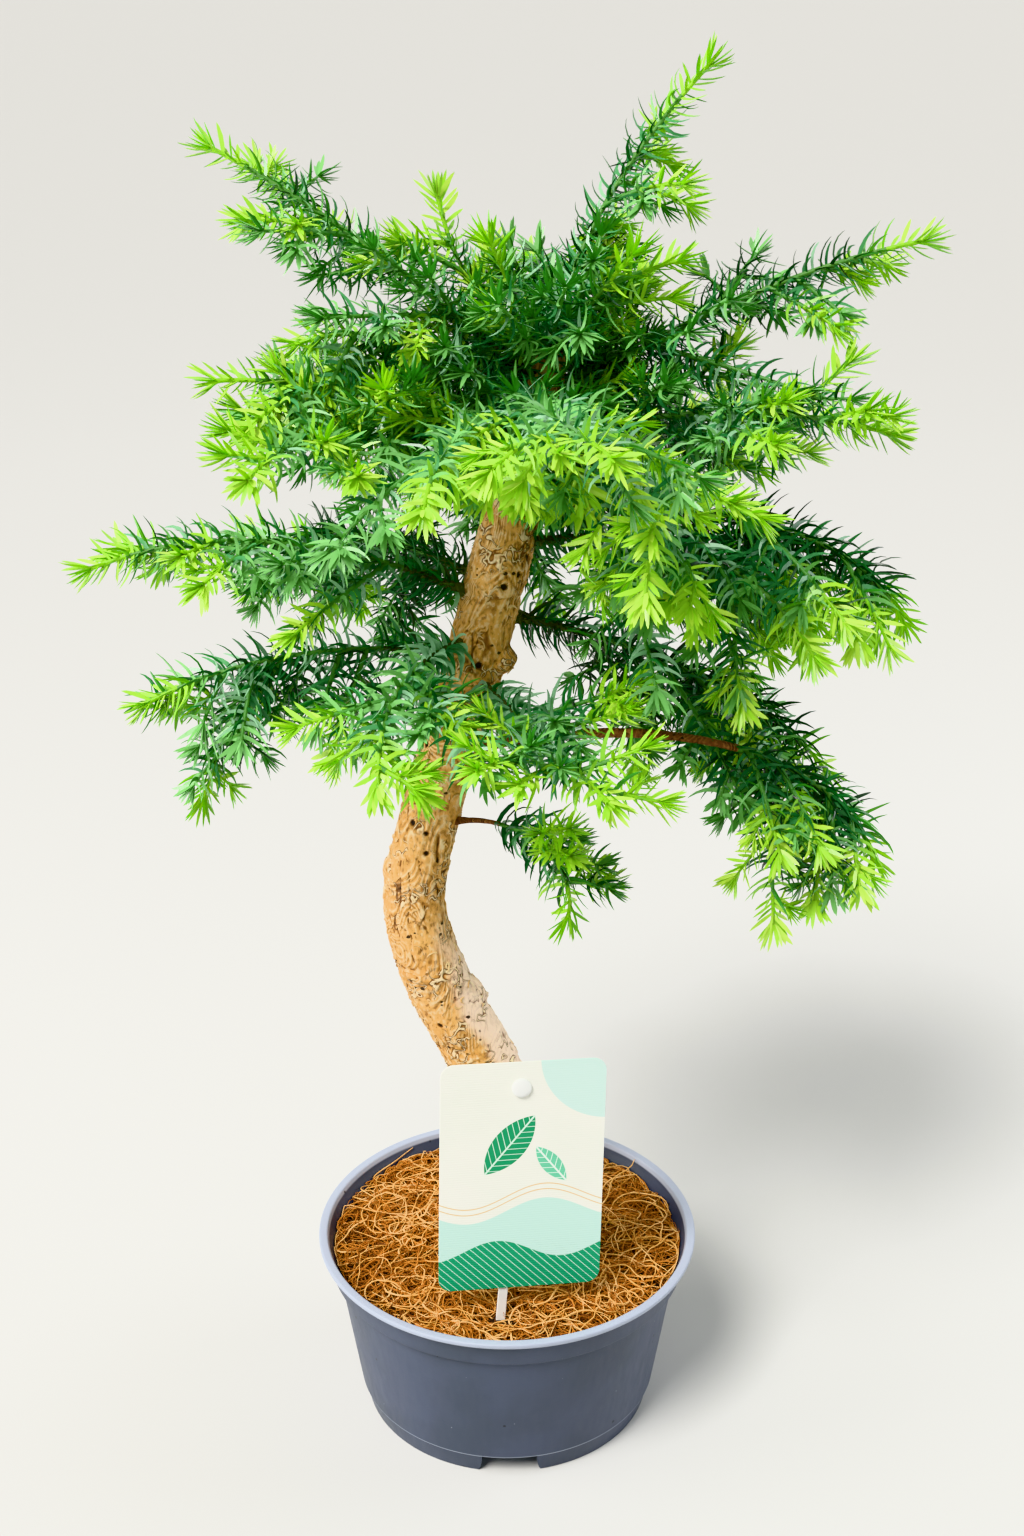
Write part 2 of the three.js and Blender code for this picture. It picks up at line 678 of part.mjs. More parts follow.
// The pot with its lip, band, foot skirt, drain notches and drain holes
function potSolid() {
  const { wall, height, lipRadius, lipWidth, lipDepth, lipEdge, bandTopRadius, bandFootRadius } = POT;
  const { skirtTop, skirtTopRadius, skirtInset, skirtStep, footRadius, floorUnder, floorTop } = POT;
  const bodyTop = POT.bandFoot - POT.stepHeight;
  const body = turned(
    [
      [0, floorUnder],
      [footRadius - wall, floorUnder],
      [footRadius - wall, 0],
      [footRadius, 0],
      [skirtTopRadius - skirtInset, skirtTop - skirtStep],
      [skirtTopRadius, skirtTop],
      [BODY_TOP_RADIUS, bodyTop],
      [bandFootRadius, POT.bandFoot],
      [bandTopRadius, BAND_TOP],
      [lipRadius, height - lipDepth],
      [lipRadius, height - lipEdge],
      [lipRadius - lipEdge, height],
      [lipRadius - lipWidth, height],
      [bandTopRadius - wall, BAND_TOP],
      [BODY_TOP_RADIUS - wall, bodyTop],
      [skirtTopRadius - wall, floorTop],
      [0, floorTop],
    ],
    POT.sides,
  );
  let pot = solid(body);
  for (let i = 0; i < POT.notches; i += 1) {
    const turn = radians(POT.notchAzimuth + (360 / POT.notches) * i);
    const notch = new THREE.BoxGeometry(POT.notchDepth, POT.notchWidth, 2 * POT.notchHeight)
      .translate(footRadius, 0, 0)
      .rotateZ(turn);
    pot = pot.subtract(solid(notch));
  }
  for (let i = 0; i < POT.drains; i += 1) {
    const { drainRadius, drainDepth, drainSides } = POT;
    const drain = new THREE.CylinderGeometry(drainRadius, drainRadius, drainDepth, drainSides)
      .rotateX(Math.PI / 2)
      .translate(POT.drainCircle, 0, floorTop)
      .rotateZ((2 * Math.PI * i) / POT.drains);
    pot = pot.subtract(solid(drain));
  }
  return pot;
}

// The soil's outside follows the pot's inner wall, GAP clear of it
function soilSolid() {
  const { wall, skirtTopRadius, bandFoot, bandTopRadius, floorTop } = POT;
  const { wallHeight, shoulderHeight, seatHeight, seatRadius } = SOIL;
  const inset = wall + 2 * GAP;
  const stepRadius = BODY_TOP_RADIUS - inset;
  const share = (wallHeight - bandFoot) / (BAND_TOP - bandFoot);
  const topRadius = THREE.MathUtils.lerp(stepRadius, bandTopRadius - inset, share);
  return solid(
    turned(
      [
        [0, floorTop + GAP],
        [skirtTopRadius - inset, floorTop + GAP],
        [stepRadius, bandFoot - POT.stepHeight],
        [topRadius, wallHeight],
        [(seatRadius + topRadius) / 2, shoulderHeight],
        [seatRadius, seatHeight],
        [0, seatHeight],
      ],
      SOIL.sides,
    ),
  );
}

// The card's outline with round corners and a hole for the pin's shank, as a thin plate facing -Y
function cardGeometry() {
  const { width, height, corner, cornerSteps, thickness } = LABEL;
  const outline = new THREE.Shape();
  [
    [1, 1, 0],
    [-1, 1, 90],
    [-1, -1, 180],
    [1, -1, 270],
  ].forEach(([right, up, turn]) => {
    const [x, y] = [right * (width / 2 - corner), up * (height / 2 - corner)];
    outline.absarc(x, y, corner, radians(turn), radians(turn + 90), false);
  });
  const hole = new THREE.Path();
  hole.absarc(LABEL.pinX, LABEL.pinZ, LABEL.shankRadius + GAP, 0, 2 * Math.PI, true);
  outline.holes.push(hole);
  const options = { depth: thickness, bevelEnabled: false, curveSegments: cornerSteps };
  const plate = new THREE.ExtrudeGeometry(outline, options);
  return plate.rotateX(Math.PI / 2).translate(0, thickness / 2, 0);
}

// The stick behind the card, widened by extra for its slot in the soil
function stickGeometry(extra) {
  const { pinX, pinZ, stickWidth, stickThickness, stickTop } = LABEL;
  const { stickFootX, stickFootZ, stickBuried, thickness } = LABEL;
  const tilt = Math.atan2(pinX - stickFootX, pinZ - stickFootZ);
  const low = stickFootZ - stickBuried;
  const length = (stickTop - low) / Math.cos(tilt);
  const back = thickness / 2 + GAP + stickThickness / 2;
  const grown = 2 * extra;
  return new THREE.BoxGeometry(stickWidth + grown, stickThickness + grown, length + grown)
    .translate(0, 0, stickTop - pinZ - length / 2)
    .rotateY(tilt)
    .translate(pinX, back, pinZ);
}

// The pin's domed head in front of the card, with a shank through it to the stick
function pinGeometry() {
  const { pinRadius, pinDepth, shankRadius, thickness, pinSides, pinX, pinZ } = LABEL;
  const { domeFoot, domeShoulder, domeWidth } = LABEL;
  const front = thickness / 2 + GAP;
  return turned(
    [
      [0, -thickness / 2],
      [shankRadius, -thickness / 2],
      [shankRadius, front],
      [pinRadius, front],
      [pinRadius, front + pinDepth * domeFoot],
      [pinRadius * domeWidth, front + pinDepth * domeShoulder],
      [0, front + pinDepth],
    ],
    pinSides,
  )
    .rotateX(Math.PI / 2)
    .translate(pinX, 0, pinZ);
}

// The label's parts in one leaning group
function makeLabel() {
  const label = new THREE.Group();
  label.position.set(...LABEL.center);
  label.rotation.set(radians(LABEL.lean), radians(LABEL.roll), radians(LABEL.yaw), "ZXY");
  label.add(mesh("label_card", solid(cardGeometry()), "card"));
  label.add(mesh("label_stick", solid(stickGeometry(0)), "plastic"));
  label.add(mesh("label_pin", solid(pinGeometry()), "plastic"));
  return label;
}

const plant = new THREE.Group();
const label = makeLabel();
label.updateMatrix();
const slot = solid(stickGeometry(GAP).applyMatrix4(label.matrix));
plant.add(mesh("pot", potSolid(), "pot"));
plant.add(mesh("soil", soilSolid().subtract(slot), "soil"));
plant.add(makeTree());
plant.add(label);

export default plant;
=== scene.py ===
"""Looks of a hoop pine bonsai in a round nursery pot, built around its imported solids.

Sizes below are millimetres and degrees, and become metres where a mesh is made. The trunk, boughs and
shoots follow the growth rule of the solids, carried on here to finer twigs and to every needle.
"""

from __future__ import annotations

import json
import logging
import math
from dataclasses import dataclass, field
from enum import Enum, IntEnum
from functools import cache
from typing import Any, Iterable, Sequence

import bmesh
import bpy
import numpy as np
from mathutils import Matrix, Vector

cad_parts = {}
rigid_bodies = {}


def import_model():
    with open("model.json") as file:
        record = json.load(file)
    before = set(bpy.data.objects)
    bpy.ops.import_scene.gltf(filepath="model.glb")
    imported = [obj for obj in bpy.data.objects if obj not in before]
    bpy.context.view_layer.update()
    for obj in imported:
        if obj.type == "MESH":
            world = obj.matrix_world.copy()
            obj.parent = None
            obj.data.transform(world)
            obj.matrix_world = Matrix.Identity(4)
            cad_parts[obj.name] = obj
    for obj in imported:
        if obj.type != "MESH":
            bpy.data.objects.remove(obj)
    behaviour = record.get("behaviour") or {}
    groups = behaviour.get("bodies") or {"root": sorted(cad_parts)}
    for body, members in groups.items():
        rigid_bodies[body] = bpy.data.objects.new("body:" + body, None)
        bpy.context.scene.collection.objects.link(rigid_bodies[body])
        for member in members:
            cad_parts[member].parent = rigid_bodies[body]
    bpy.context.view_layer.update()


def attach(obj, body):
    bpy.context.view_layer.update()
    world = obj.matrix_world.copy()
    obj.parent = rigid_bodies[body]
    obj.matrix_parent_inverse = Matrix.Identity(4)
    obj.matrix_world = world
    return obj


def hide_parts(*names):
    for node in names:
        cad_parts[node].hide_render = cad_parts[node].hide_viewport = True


LOG = logging.getLogger("bonsai")
MM = 0.001
FULL_TURN = 2.0 * math.pi
GOLDEN_TURN = math.pi * (3.0 - math.sqrt(5.0))
UP = np.array((0.0, 0.0, 1.0))
TINY = 1e-9
MOST_TRIANGLES = 190_000
BODY = "root"
Array = np.ndarray
Draw = np.random.Generator
Mesh = bpy.types.Mesh
Material = bpy.types.Material
Pair = tuple[float, float]
Colour = tuple[float, float, float, float]


def colour(code: str) -> Colour:
    """Turns a six-digit screen colour into linear light.

    Args:
        code: Red, green and blue as hexadecimal digits.

    Returns:
        The linear colour with full alpha.
    """
    parts = [int(code[i:i + 2], 16) / 255.0 for i in (0, 2, 4)]
    linear = [p / 12.92 if p <= 0.04045 else ((p + 0.055) / 1.055) ** 2.4 for p in parts]
    return linear[0], linear[1], linear[2], 1.0


def chance(seed: float, index: float) -> float:
    """A repeatable value from 0 to 1, the fraction of a steep wave, as the solids use it."""
    wave = math.sin(seed * 127.1 + index * 311.7) * 43758.5453
    return wave - math.floor(wave)


def seeded(seed: int) -> Any:
    """A dataclass field of chance values that start from a seed."""
    return field(default_factory=lambda: np.random.default_rng(seed))


class Luck(IntEnum):
    """The numbers of a seed's chance values, one for each thing that they decide."""

    SIDE = 0
    ROLL = 1
    LEAN = 2
    SIZE = 3
    GAP = 4
    TWIG_SIDE = 5
    TWIG_START = 6
    TWIG_KEPT = 7
    INNER_SIDE = 8
    SHADE = 9


def varied(limits: Pair, seed: float, index: Luck) -> float:
    """The first of a pair, with up to the second added by chance."""
    return limits[0] + limits[1] * chance(seed, index)


def first_side(seed: float, index: Luck) -> int:
    """The side that comes first, 1 or -1."""
    return 1 if chance(seed, index) > 0.5 else -1


def unit(vectors: Array) -> Array:
    """Scales vectors to length one, along the last axis."""
    return vectors / np.maximum(np.linalg.norm(vectors, axis=-1, keepdims=True), TINY)


def smooth_step(values: Array) -> Array:
    """Eases values between 0 and 1."""
    held = np.clip(values, 0.0, 1.0)
    return held * held * (3.0 - 2.0 * held)


class Tint(Enum):
    """The needle colours, from the shaded inner needles to the newest tips."""

    DEEP = "deep"
    PINE = "pine"
    BLUE = "blue"
    MID = "mid"
    FRESH = "fresh"
    LIME = "lime"
    YELLOW = "yellow"

    @property
    def place(self) -> int:
        """The tint's place in the order above."""
        return list(Tint).index(self)


class Sweep(Enum):
    """Which way a needle bends: towards its upper face, or towards one of its edges."""

    FACE = 0
    LEFT = 1
    RIGHT = 2


class Order(Enum):
    """How a stem stands in its bough: the stem itself, a side shoot or a finer twig."""

    STEM = 0
    SHOOT = 1
    TWIG = 2


class Kind(Enum):
    """What a socket of a node tree carries."""

    VALUE = "NodeSocketFloat"
    COUNT = "NodeSocketInt"
    VECTOR = "NodeSocketVector"
    COLOUR = "NodeSocketColor"
    GEOMETRY = "NodeSocketGeometry"
    MATERIAL = "NodeSocketMaterial"
    COLLECTION = "NodeSocketCollection"
    OBJECT = "NodeSocketObject"


class Value:
    """A value that flows through a node tree, with plain arithmetic."""

    def __init__(self, maker: TreeMaker, socket: bpy.types.NodeSocket) -> None:
        """Keeps the socket and the tree that it belongs to."""
        self.maker = maker
        self.socket = socket

    def __add__(self, other: Any) -> Value:
        """The sum."""
        return self.maker.math("ADD", self, other)

    def __sub__(self, other: Any) -> Value:
        """The difference."""
        return self.maker.math("SUBTRACT", self, other)

    def __mul__(self, other: Any) -> Value:
        """The product."""
        return self.maker.math("MULTIPLY", self, other)

    def __abs__(self) -> Value:
        """The size without the sign."""
        return self.maker.math("ABSOLUTE", self)

    def ease(self, low: float, high: float) -> Value:
        """Maps low..high smoothly to 0..1."""
        smooth = {"interpolation_type": "SMOOTHSTEP"}
        return self.maker.read("ShaderNodeMapRange", 0, smooth, Value=self, From_Min=low, From_Max=high)


class TreeMaker:
    """A node tree under construction."""

    # A colour Mix node's sockets share their names with its sockets for numbers.
    MIX_FIRST, MIX_SECOND, MIX_RESULT = 6, 7, 2

    def __init__(self, tree: bpy.types.NodeTree) -> None:
        """Keeps the tree."""
        self.tree = tree

    def add_sockets(self, direction: str, kinds: dict[str, Kind]) -> dict[str, str]:
        """Gives the tree named sockets.

        Args:
            direction: INPUT or OUTPUT.
            kinds: What each socket carries, by its name.

        Returns:
            Each socket's identifier, by its name.
        """
        sockets = {}
        for name, kind in kinds.items():
            made = self.tree.interface.new_socket(name, in_out=direction, socket_type=kind.value)
            sockets[name] = made.identifier
        return sockets

    def feed(self, socket: bpy.types.NodeSocket, value: Any) -> None:
        """Links a socket to a value of the tree, or sets it to a plain one."""
        if isinstance(value, Value):
            self.tree.links.new(value.socket, socket)
        else:
            socket.default_value = value

    def node(self, kind: str, settings: dict[str, Any] | None = None, **sockets: Any) -> bpy.types.Node:
        """Adds a node.

        Args:
            kind: The node's type.
            settings: Properties of the node itself.
            **sockets: Values by socket name, with underscores for spaces.

        Returns:
            The new node.
        """
        made = self.tree.nodes.new(kind)
        for key, value in (settings or {}).items():
            setattr(made, key, value)
        for key, value in sockets.items():
            self.feed(made.inputs[key.replace("_", " ")], value)
        return made

    def value(self, node: bpy.types.Node, output: str | int = 0) -> Value:
        """One of a node's outputs."""
        return Value(self, node.outputs[output])

    def read(
        self, kind: str, output: str | int = 0, settings: dict[str, Any] | None = None, **sockets: Any,
    ) -> Value:
        """Adds a node and returns one of its outputs."""
        return self.value(self.node(kind, settings, **sockets), output)

    def given(self, name: str) -> Value:
        """One of the tree's own inputs."""
        return self.read("NodeGroupInput", name)

    def put_out(self, **values: Value) -> None:
        """Puts out the tree's results."""
        self.node("NodeGroupOutput", **values)

    def math(self, operation: str, first: Any, second: Any = 0.0) -> Value:
        """Adds a Math node and returns its value."""
        made = self.node("ShaderNodeMath", {"operation": operation})
        for socket, value in zip(made.inputs, (first, second)):
            self.feed(socket, value)
        return self.value(made)

    def mix(self, factor: Any, first: Any, second: Any) -> Value:
        """Adds a colour Mix node and returns its colour."""
        made = self.node("ShaderNodeMix", {"data_type": "RGBA"}, Factor=factor)
        self.feed(made.inputs[self.MIX_FIRST], first)
        self.feed(made.inputs[self.MIX_SECOND], second)
        return self.value(made, self.MIX_RESULT)

    def noise(self, vector: Value, scale: Any, detail: float = 3.0, twist: float = 0.0) -> Value:
        """A Noise texture's value."""
        return self.read(
            "ShaderNodeTexNoise", "Fac", Vector=vector, Scale=scale, Detail=detail, Distortion=twist
        )


class Group(TreeMaker):
    """A shader group with named inputs and outputs."""

    def __init__(self, name: str, inputs: dict[str, Kind], outputs: dict[str, Kind]) -> None:
        """Makes the empty group with its sockets."""
        super().__init__(bpy.data.node_groups.new(name, "ShaderNodeTree"))
        self.add_sockets("INPUT", inputs)
        self.add_sockets("OUTPUT", outputs)


PATTERN = {"Vector": Kind.VECTOR, "Scale": Kind.VALUE}


@cache
def mottle_group() -> Group:
    """Two colours in soft patches."""
    inputs = {**PATTERN, "First": Kind.COLOUR, "Second": Kind.COLOUR}
    made = Group("mottle", inputs, {"Color": Kind.COLOUR})
    mask = made.noise(made.given("Vector"), made.given("Scale"), 4.0).ease(0.34, 0.66)
    made.put_out(Color=made.mix(mask, made.given("First"), made.given("Second")))
    return made


@cache
def specks_group() -> Group:
    """Scattered small spots, as a mask."""
    made = Group("specks", {**PATTERN, "Size": Kind.VALUE}, {"Mask": Kind.VALUE})
    cells = made.node("ShaderNodeTexVoronoi", Vector=made.given("Vector"), Scale=made.given("Scale"))
    pick = made.read("ShaderNodeSeparateColor", Color=made.value(cells, "Color"))
    reach = made.given("Size") * pick.ease(0.72, 0.98)
    made.put_out(Mask=(reach - made.value(cells, "Distance")).ease(0.0, 0.05))
    return made


@cache
def grain_group() -> Group:
    """A fine uneven surface, as a height."""
    made = Group("grain", PATTERN, {"Height": Kind.VALUE})
    place, scale = made.given("Vector"), made.given("Scale")
    made.put_out(Height=made.noise(place, scale, 4.0) + made.noise(place, scale * 0.17, 2.0))
    return made


@cache
def swirls_group() -> Group:
    """Fine lines that wind about one another, 0 in the furrows and 1 on the crests."""
    made = Group("swirls", {**PATTERN, "Lines": Kind.VALUE}, {"Height": Kind.VALUE})
    flow = made.noise(made.given("Vector"), made.given("Scale"), 1.0, 0.6)
    made.put_out(Height=made.math("PINGPONG", flow * made.given("Lines"), 1.0))
    return made


@cache
def worms_group() -> Group:
    """Thin wandering ridges in patches, each between two rims, as masks for a painted highlight on the
    crests and painted shade in the rims.
    """
    made = Group("worms", PATTERN, {"Crest": Kind.VALUE, "Rim": Kind.VALUE})
    place, scale = made.given("Vector"), made.given("Scale")
    away = abs(made.noise(place, scale, 0.3, 0.9) - 0.5)
    patch = made.noise(place, scale * 0.45, 2.0).ease(0.49, 0.61)
    crest = away.ease(0.045, 0.012) * patch
    made.put_out(Crest=crest, Rim=away.ease(0.1, 0.05) * patch - crest)
    return made


class MaterialTree(TreeMaker):
    """A material under construction, around its Principled shader."""

    def __init__(self, name: str) -> None:
        """Makes the material with a plain shader."""
        self.material = bpy.data.materials.new(name)
        self.material.use_nodes = True
        super().__init__(self.material.node_tree)
        self.shader = self.tree.nodes["Principled BSDF"]

    def place(self) -> Value:
        """The piece's own Object coordinates."""
        return self.read("ShaderNodeTexCoord", "Object")

    def attribute(self, name: str) -> Value:
        """A value stored on the mesh."""
        return self.read("ShaderNodeAttribute", "Fac", {"attribute_name": name})

    def stretched(self, vector: Value, upward: float) -> Value:
        """Coordinates scaled along the height alone."""
        return self.read("ShaderNodeMapping", "Vector", Vector=vector, Scale=(1.0, 1.0, upward))

    def group(self, group: Group, **sockets: Any) -> bpy.types.Node:
        """Places one of the shared groups with its own values."""
        return self.node("ShaderNodeGroup", {"node_tree": group.tree}, **sockets)

    def mottled(self, vector: Value, scale: float, first: str, second: str) -> Value:
        """Two colours in soft patches, by the shared group."""
        colours = {"First": colour(first), "Second": colour(second)}
        return self.value(self.group(mottle_group(), Vector=vector, Scale=scale, **colours))

    def speckled(self, vector: Value, scale: float, size: float) -> Value:
        """A mask of small spots, by the shared group."""
        return self.value(self.group(specks_group(), Vector=vector, Scale=scale, Size=size))

    def grained(self, vector: Value, scale: float) -> Value:
        """A fine height, by the shared group."""
        return self.value(self.group(grain_group(), Vector=vector, Scale=scale))

    def paint(self, skin: Value, mask: Value, code: str) -> Value:
        """Lays a colour over another where a mask says."""
        return self.mix(mask, skin, colour(code))

    def bump(self, height: Value, distance: float, strength: float = 1.0) -> None:
        """Lays a Bump node, with its depth in millimetres, on the shader's normal."""
        depth = {"Distance": distance * MM, "Strength": strength}
        normal = self.read("ShaderNodeBump", "Normal", Height=height, **depth)
        self.feed(self.shader.inputs["Normal"], normal)

    def dress(self, **sockets: Any) -> Material:
        """Sets the Principled shader's sockets and returns the material."""
        for key, value in sockets.items():
            self.feed(self.shader.inputs[key.replace("_", " ")], value)
        return self.material


@dataclass(frozen=True)
class NeedleFinish:
    """A needle's waxy skin: a plain darker colour for its keel, painted shade, and a paler one for its upper
    face, partly its own bloom and partly painted light.
    """

    tint: Tint
    keel: str
    face: str
    roughness: float = 0.29

    def make(self) -> tuple[Material, Material]:
        """Builds the keel's material and the upper face's."""
        made = []
        for part, code in (("keel", self.keel), ("face", self.face)):
            tree = MaterialTree(f"needle_{self.tint.value}_{part}")
            made.append(tree.dress(Base_Color=colour(code), Roughness=self.roughness))
        return made[0], made[1]


@dataclass(frozen=True)
class SkinFinish:
    """A plain skin: two colours in soft patches, over a fine grain where it has a depth."""

    name: str
    base: str
    patch: str
    scale: float
    roughness: float
    grain: float = 900.0
    depth: float = 0.25
    strength: float = 0.7

    def make(self) -> Material:
        """Builds the material."""
        made = MaterialTree(self.name)
        place = made.place()
        if self.depth:
            made.bump(made.grained(place, self.grain), self.depth, self.strength)
        skin = made.mottled(place, self.scale, self.base, self.patch)
        return made.dress(Base_Color=skin, Roughness=self.roughness)


@dataclass(frozen=True)
class BarkFinish:
    """Bark with pale ridges as painted highlight, dark hollows and pits as painted shade, streaks, and a
    paler side where the mesh says so.
    """

    name: str
    plate: str
    patch: str
    # The next two colours: pale and dark streaks, and a painted highlight on raised relief and painted shade
    # in sunk relief.
    ridge_highlight_and_streak: str
    hollow: str
    # The next colour is painted shade in the pits.
    pit_shade: str
    # The pale side's colour: partly the bark's own pale patch, partly painted light on that side.
    pale: str

    def make(self) -> Material:
        """Builds the material; the mesh carries its own relief and pale side as attributes."""
        made = MaterialTree(self.name)
        place = made.place()
        long_place = made.stretched(place, 0.6)
        relief = made.attribute("relief")
        swirls = made.value(made.group(swirls_group(), Vector=long_place, Scale=26.0, Lines=84.0))
        worms = made.group(worms_group(), Vector=place, Scale=175.0)
        crest, rim = made.value(worms, "Crest"), made.value(worms, "Rim")
        crowded = made.noise(made.stretched(place, 1.7), 42.0, 2.0).ease(0.46, 0.62)
        pits = made.speckled(made.stretched(place, 1.3), 330.0, 0.42) * crowded
        streaks = made.noise(long_place, 520.0, 5.0)
        edge = made.noise(place, 60.0) - 0.5
        # The paler side: partly the bark's own pale patch, partly painted light on that side.
        pale = (made.attribute("pale") + edge * 0.9).ease(0.2, 0.9)
        rough_side = pale * -0.7 + 1.0
        plainer = rough_side * made.noise(place, 110.0).ease(0.36, 0.6)
        skin = made.paint(made.mottled(place, 46.0, self.plate, self.patch), pale, self.pale)
        # Painted highlight on crests and raised relief; painted shade in furrows, rims, sunk relief and
        # pits.
        layers = (
            (swirls.ease(0.5, 0.05) * plainer * 0.5, self.hollow),
            (swirls.ease(0.55, 0.95) * plainer * 0.6, self.ridge_highlight_and_streak),
            # The streaks are the bark's own pale and dark colour.
            (streaks.ease(0.52, 0.7) * rough_side * 0.7, self.hollow),
            (streaks.ease(0.46, 0.34) * rough_side * 0.45, self.ridge_highlight_and_streak),
            (rim * 0.95, self.hollow),
            (crest * 0.9, self.ridge_highlight_and_streak),
            (relief.ease(0.3, 0.85) * 0.7, self.ridge_highlight_and_streak),
            (relief.ease(-0.25, -0.8) * 0.9, self.hollow),
            (relief.ease(-0.75, -1.15), self.pit_shade),
            (pits * 0.95, self.pit_shade),
        )
        for mask, code in layers:
            skin = made.paint(skin, mask, code)
        height = made.grained(long_place, 1000.0) + swirls * plainer + (crest - rim) - pits * 1.5
        made.bump(height, 0.32, 0.8)
        return made.dress(Base_Color=skin, Roughness=streaks * 0.25 + 0.66)


@dataclass(frozen=True)
class PotFinish:
    """Satin grey plastic, paler at the thin lip as painted light, with a painted highlight line over the
    skirt's step, scuffs, dust and dark specks.
    """

    base: str = "414a5b"
    patch: str = "485166"
    # Painted light: the lip paler, as if lit from above and through its thin wall.
    lip: str = "a6aebf"
    # Painted highlight: a thin pale line along the step over the foot skirt.
    line: str = "c3cee0"
    speck: str = "23272e"
    dust: str = "a8afba"
    lip_from: float = 92.3
    lip_to: float = 93.4
    step_highlight_height: float = 11.3
    line_width: float = 0.9

    def make(self) -> Material:
        """Builds the material."""
        made = MaterialTree("pot_plastic")
        place = made.place()
        height = made.read("ShaderNodeSeparateXYZ", "Z", Vector=place)
        wall = made.mottled(place, 24.0, self.base, self.patch)
        wall = made.paint(wall, made.speckled(place, 260.0, 0.09), self.dust)
        # Painted light on the lip.
        wall = made.paint(wall, height.ease(self.lip_from * MM, self.lip_to * MM), self.lip)
        # Painted highlight along the skirt's step.
        off = abs(height - self.step_highlight_height * MM)
        wall = made.paint(wall, off.ease(self.line_width * MM, 0.0), self.line)
        wall = made.paint(wall, made.speckled(place, 95.0, 0.13), self.speck)
        scuffs = made.noise(made.stretched(place, 0.25), 300.0, 6.0)
        made.bump(made.grained(place, 1400.0), 0.08, 0.5)
        return made.dress(Base_Color=wall, Roughness=scuffs * 0.2 + 0.34)


class Growth(TreeMaker):
    """A Geometry Nodes tree with named inputs."""

    def __init__(self, name: str, **inputs: Kind) -> None:
        """Makes the tree with its sockets: the geometry, the inputs and the material."""
        super().__init__(bpy.data.node_groups.new(name, "GeometryNodeTree"))
        geometry = {"Geometry": Kind.GEOMETRY}
        self.identifiers = self.add_sockets("INPUT", {**geometry, **inputs, "Material": Kind.MATERIAL})
        self.add_sockets("OUTPUT", geometry)

    def named(self, name: str, kind: str) -> Value:
        """Reads a named attribute."""
        return self.read("GeometryNodeInputNamedAttribute", 0, {"data_type": kind}, Name=name)

    def scaled(self, vector: Value, size: Value) -> Value:
        """A vector times a number."""
        return self.read("ShaderNodeVectorMath", 0, {"operation": "SCALE"}, Vector=vector, Scale=size)

    def stretched(self, vector: Value, upward: float) -> Value:
        """Coordinates scaled along the height alone."""
        made = self.node("ShaderNodeVectorMath", {"operation": "MULTIPLY"}, Vector=vector)
        self.feed(made.inputs[1], (1.0, 1.0, upward))
        return self.value(made)

    def end(self, geometry: Value, marked: str = "") -> None:
        """Closes the tree: realizes instances, shades smoothly and sets the material.

        Args:
            geometry: What the tree has made.
            marked: An attribute of the faces that take the tree's Face material instead, if any.
        """
        real = self.read("GeometryNodeRealizeInstances", Geometry=geometry)
        smooth = self.read("GeometryNodeSetShadeSmooth", Geometry=real)
        dressed = self.read("GeometryNodeSetMaterial", Geometry=smooth, Material=self.given("Material"))
        if marked:
            dressed = self.read(
                "GeometryNodeSetMaterial", Geometry=dressed, Material=self.given("Face"),
                Selection=self.named(marked, "BOOLEAN"),
            )
        self.put_out(Geometry=dressed)

    def grow(self, name: str, mesh: Mesh, **values: Any) -> bpy.types.Object:
        """Runs the tree on a mesh and keeps the result as a plain mesh.

        Args:
            name: The new object's name.
            mesh: What the tree starts from; it is removed afterwards.
            **values: The tree's inputs by name.

        Returns:
            The object with its finished mesh and no modifier.
        """
        piece = new_object(name, mesh)
        modifier = piece.modifiers.new(self.tree.name, "NODES")
        modifier.node_group = self.tree
        for label, value in values.items():
            modifier[self.identifiers[label]] = value
        settle_modifiers(piece)
        return piece


def new_object(name: str, mesh: Mesh) -> bpy.types.Object:
    """Links a mesh into the scene as an object at the origin."""
    piece = bpy.data.objects.new(name, mesh)
    bpy.context.scene.collection.objects.link(piece)
    return piece


def settle_modifiers(piece: bpy.types.Object) -> None:
    """Turns a piece's modifiers into a plain mesh.

    Args:
        piece: The piece, whose first mesh is removed.
    """
    piece.update_tag()
    graph = bpy.context.evaluated_depsgraph_get()
    graph.update()
    made = bpy.data.meshes.new_from_object(piece.evaluated_get(graph), depsgraph=graph)
    raw = piece.data
    piece.modifiers.clear()
    piece.data = made
    made.name = piece.name
    bpy.data.meshes.remove(raw)


def mesh_from(name: str, points: Array, faces: Sequence[Sequence[int]]) -> Mesh:
    """Makes a smooth mesh.

    Args:
        name: The mesh's name.
        points: Its points, in millimetres.
        faces: The points of each face.

    Returns:
        The mesh, in metres.
    """
    mesh = bpy.data.meshes.new(name)
    mesh.from_pydata((np.asarray(points, float) * MM).tolist(), [], faces)
    mesh.polygons.foreach_set("use_smooth", np.ones(len(mesh.polygons), bool))
    mesh.update()
    return mesh


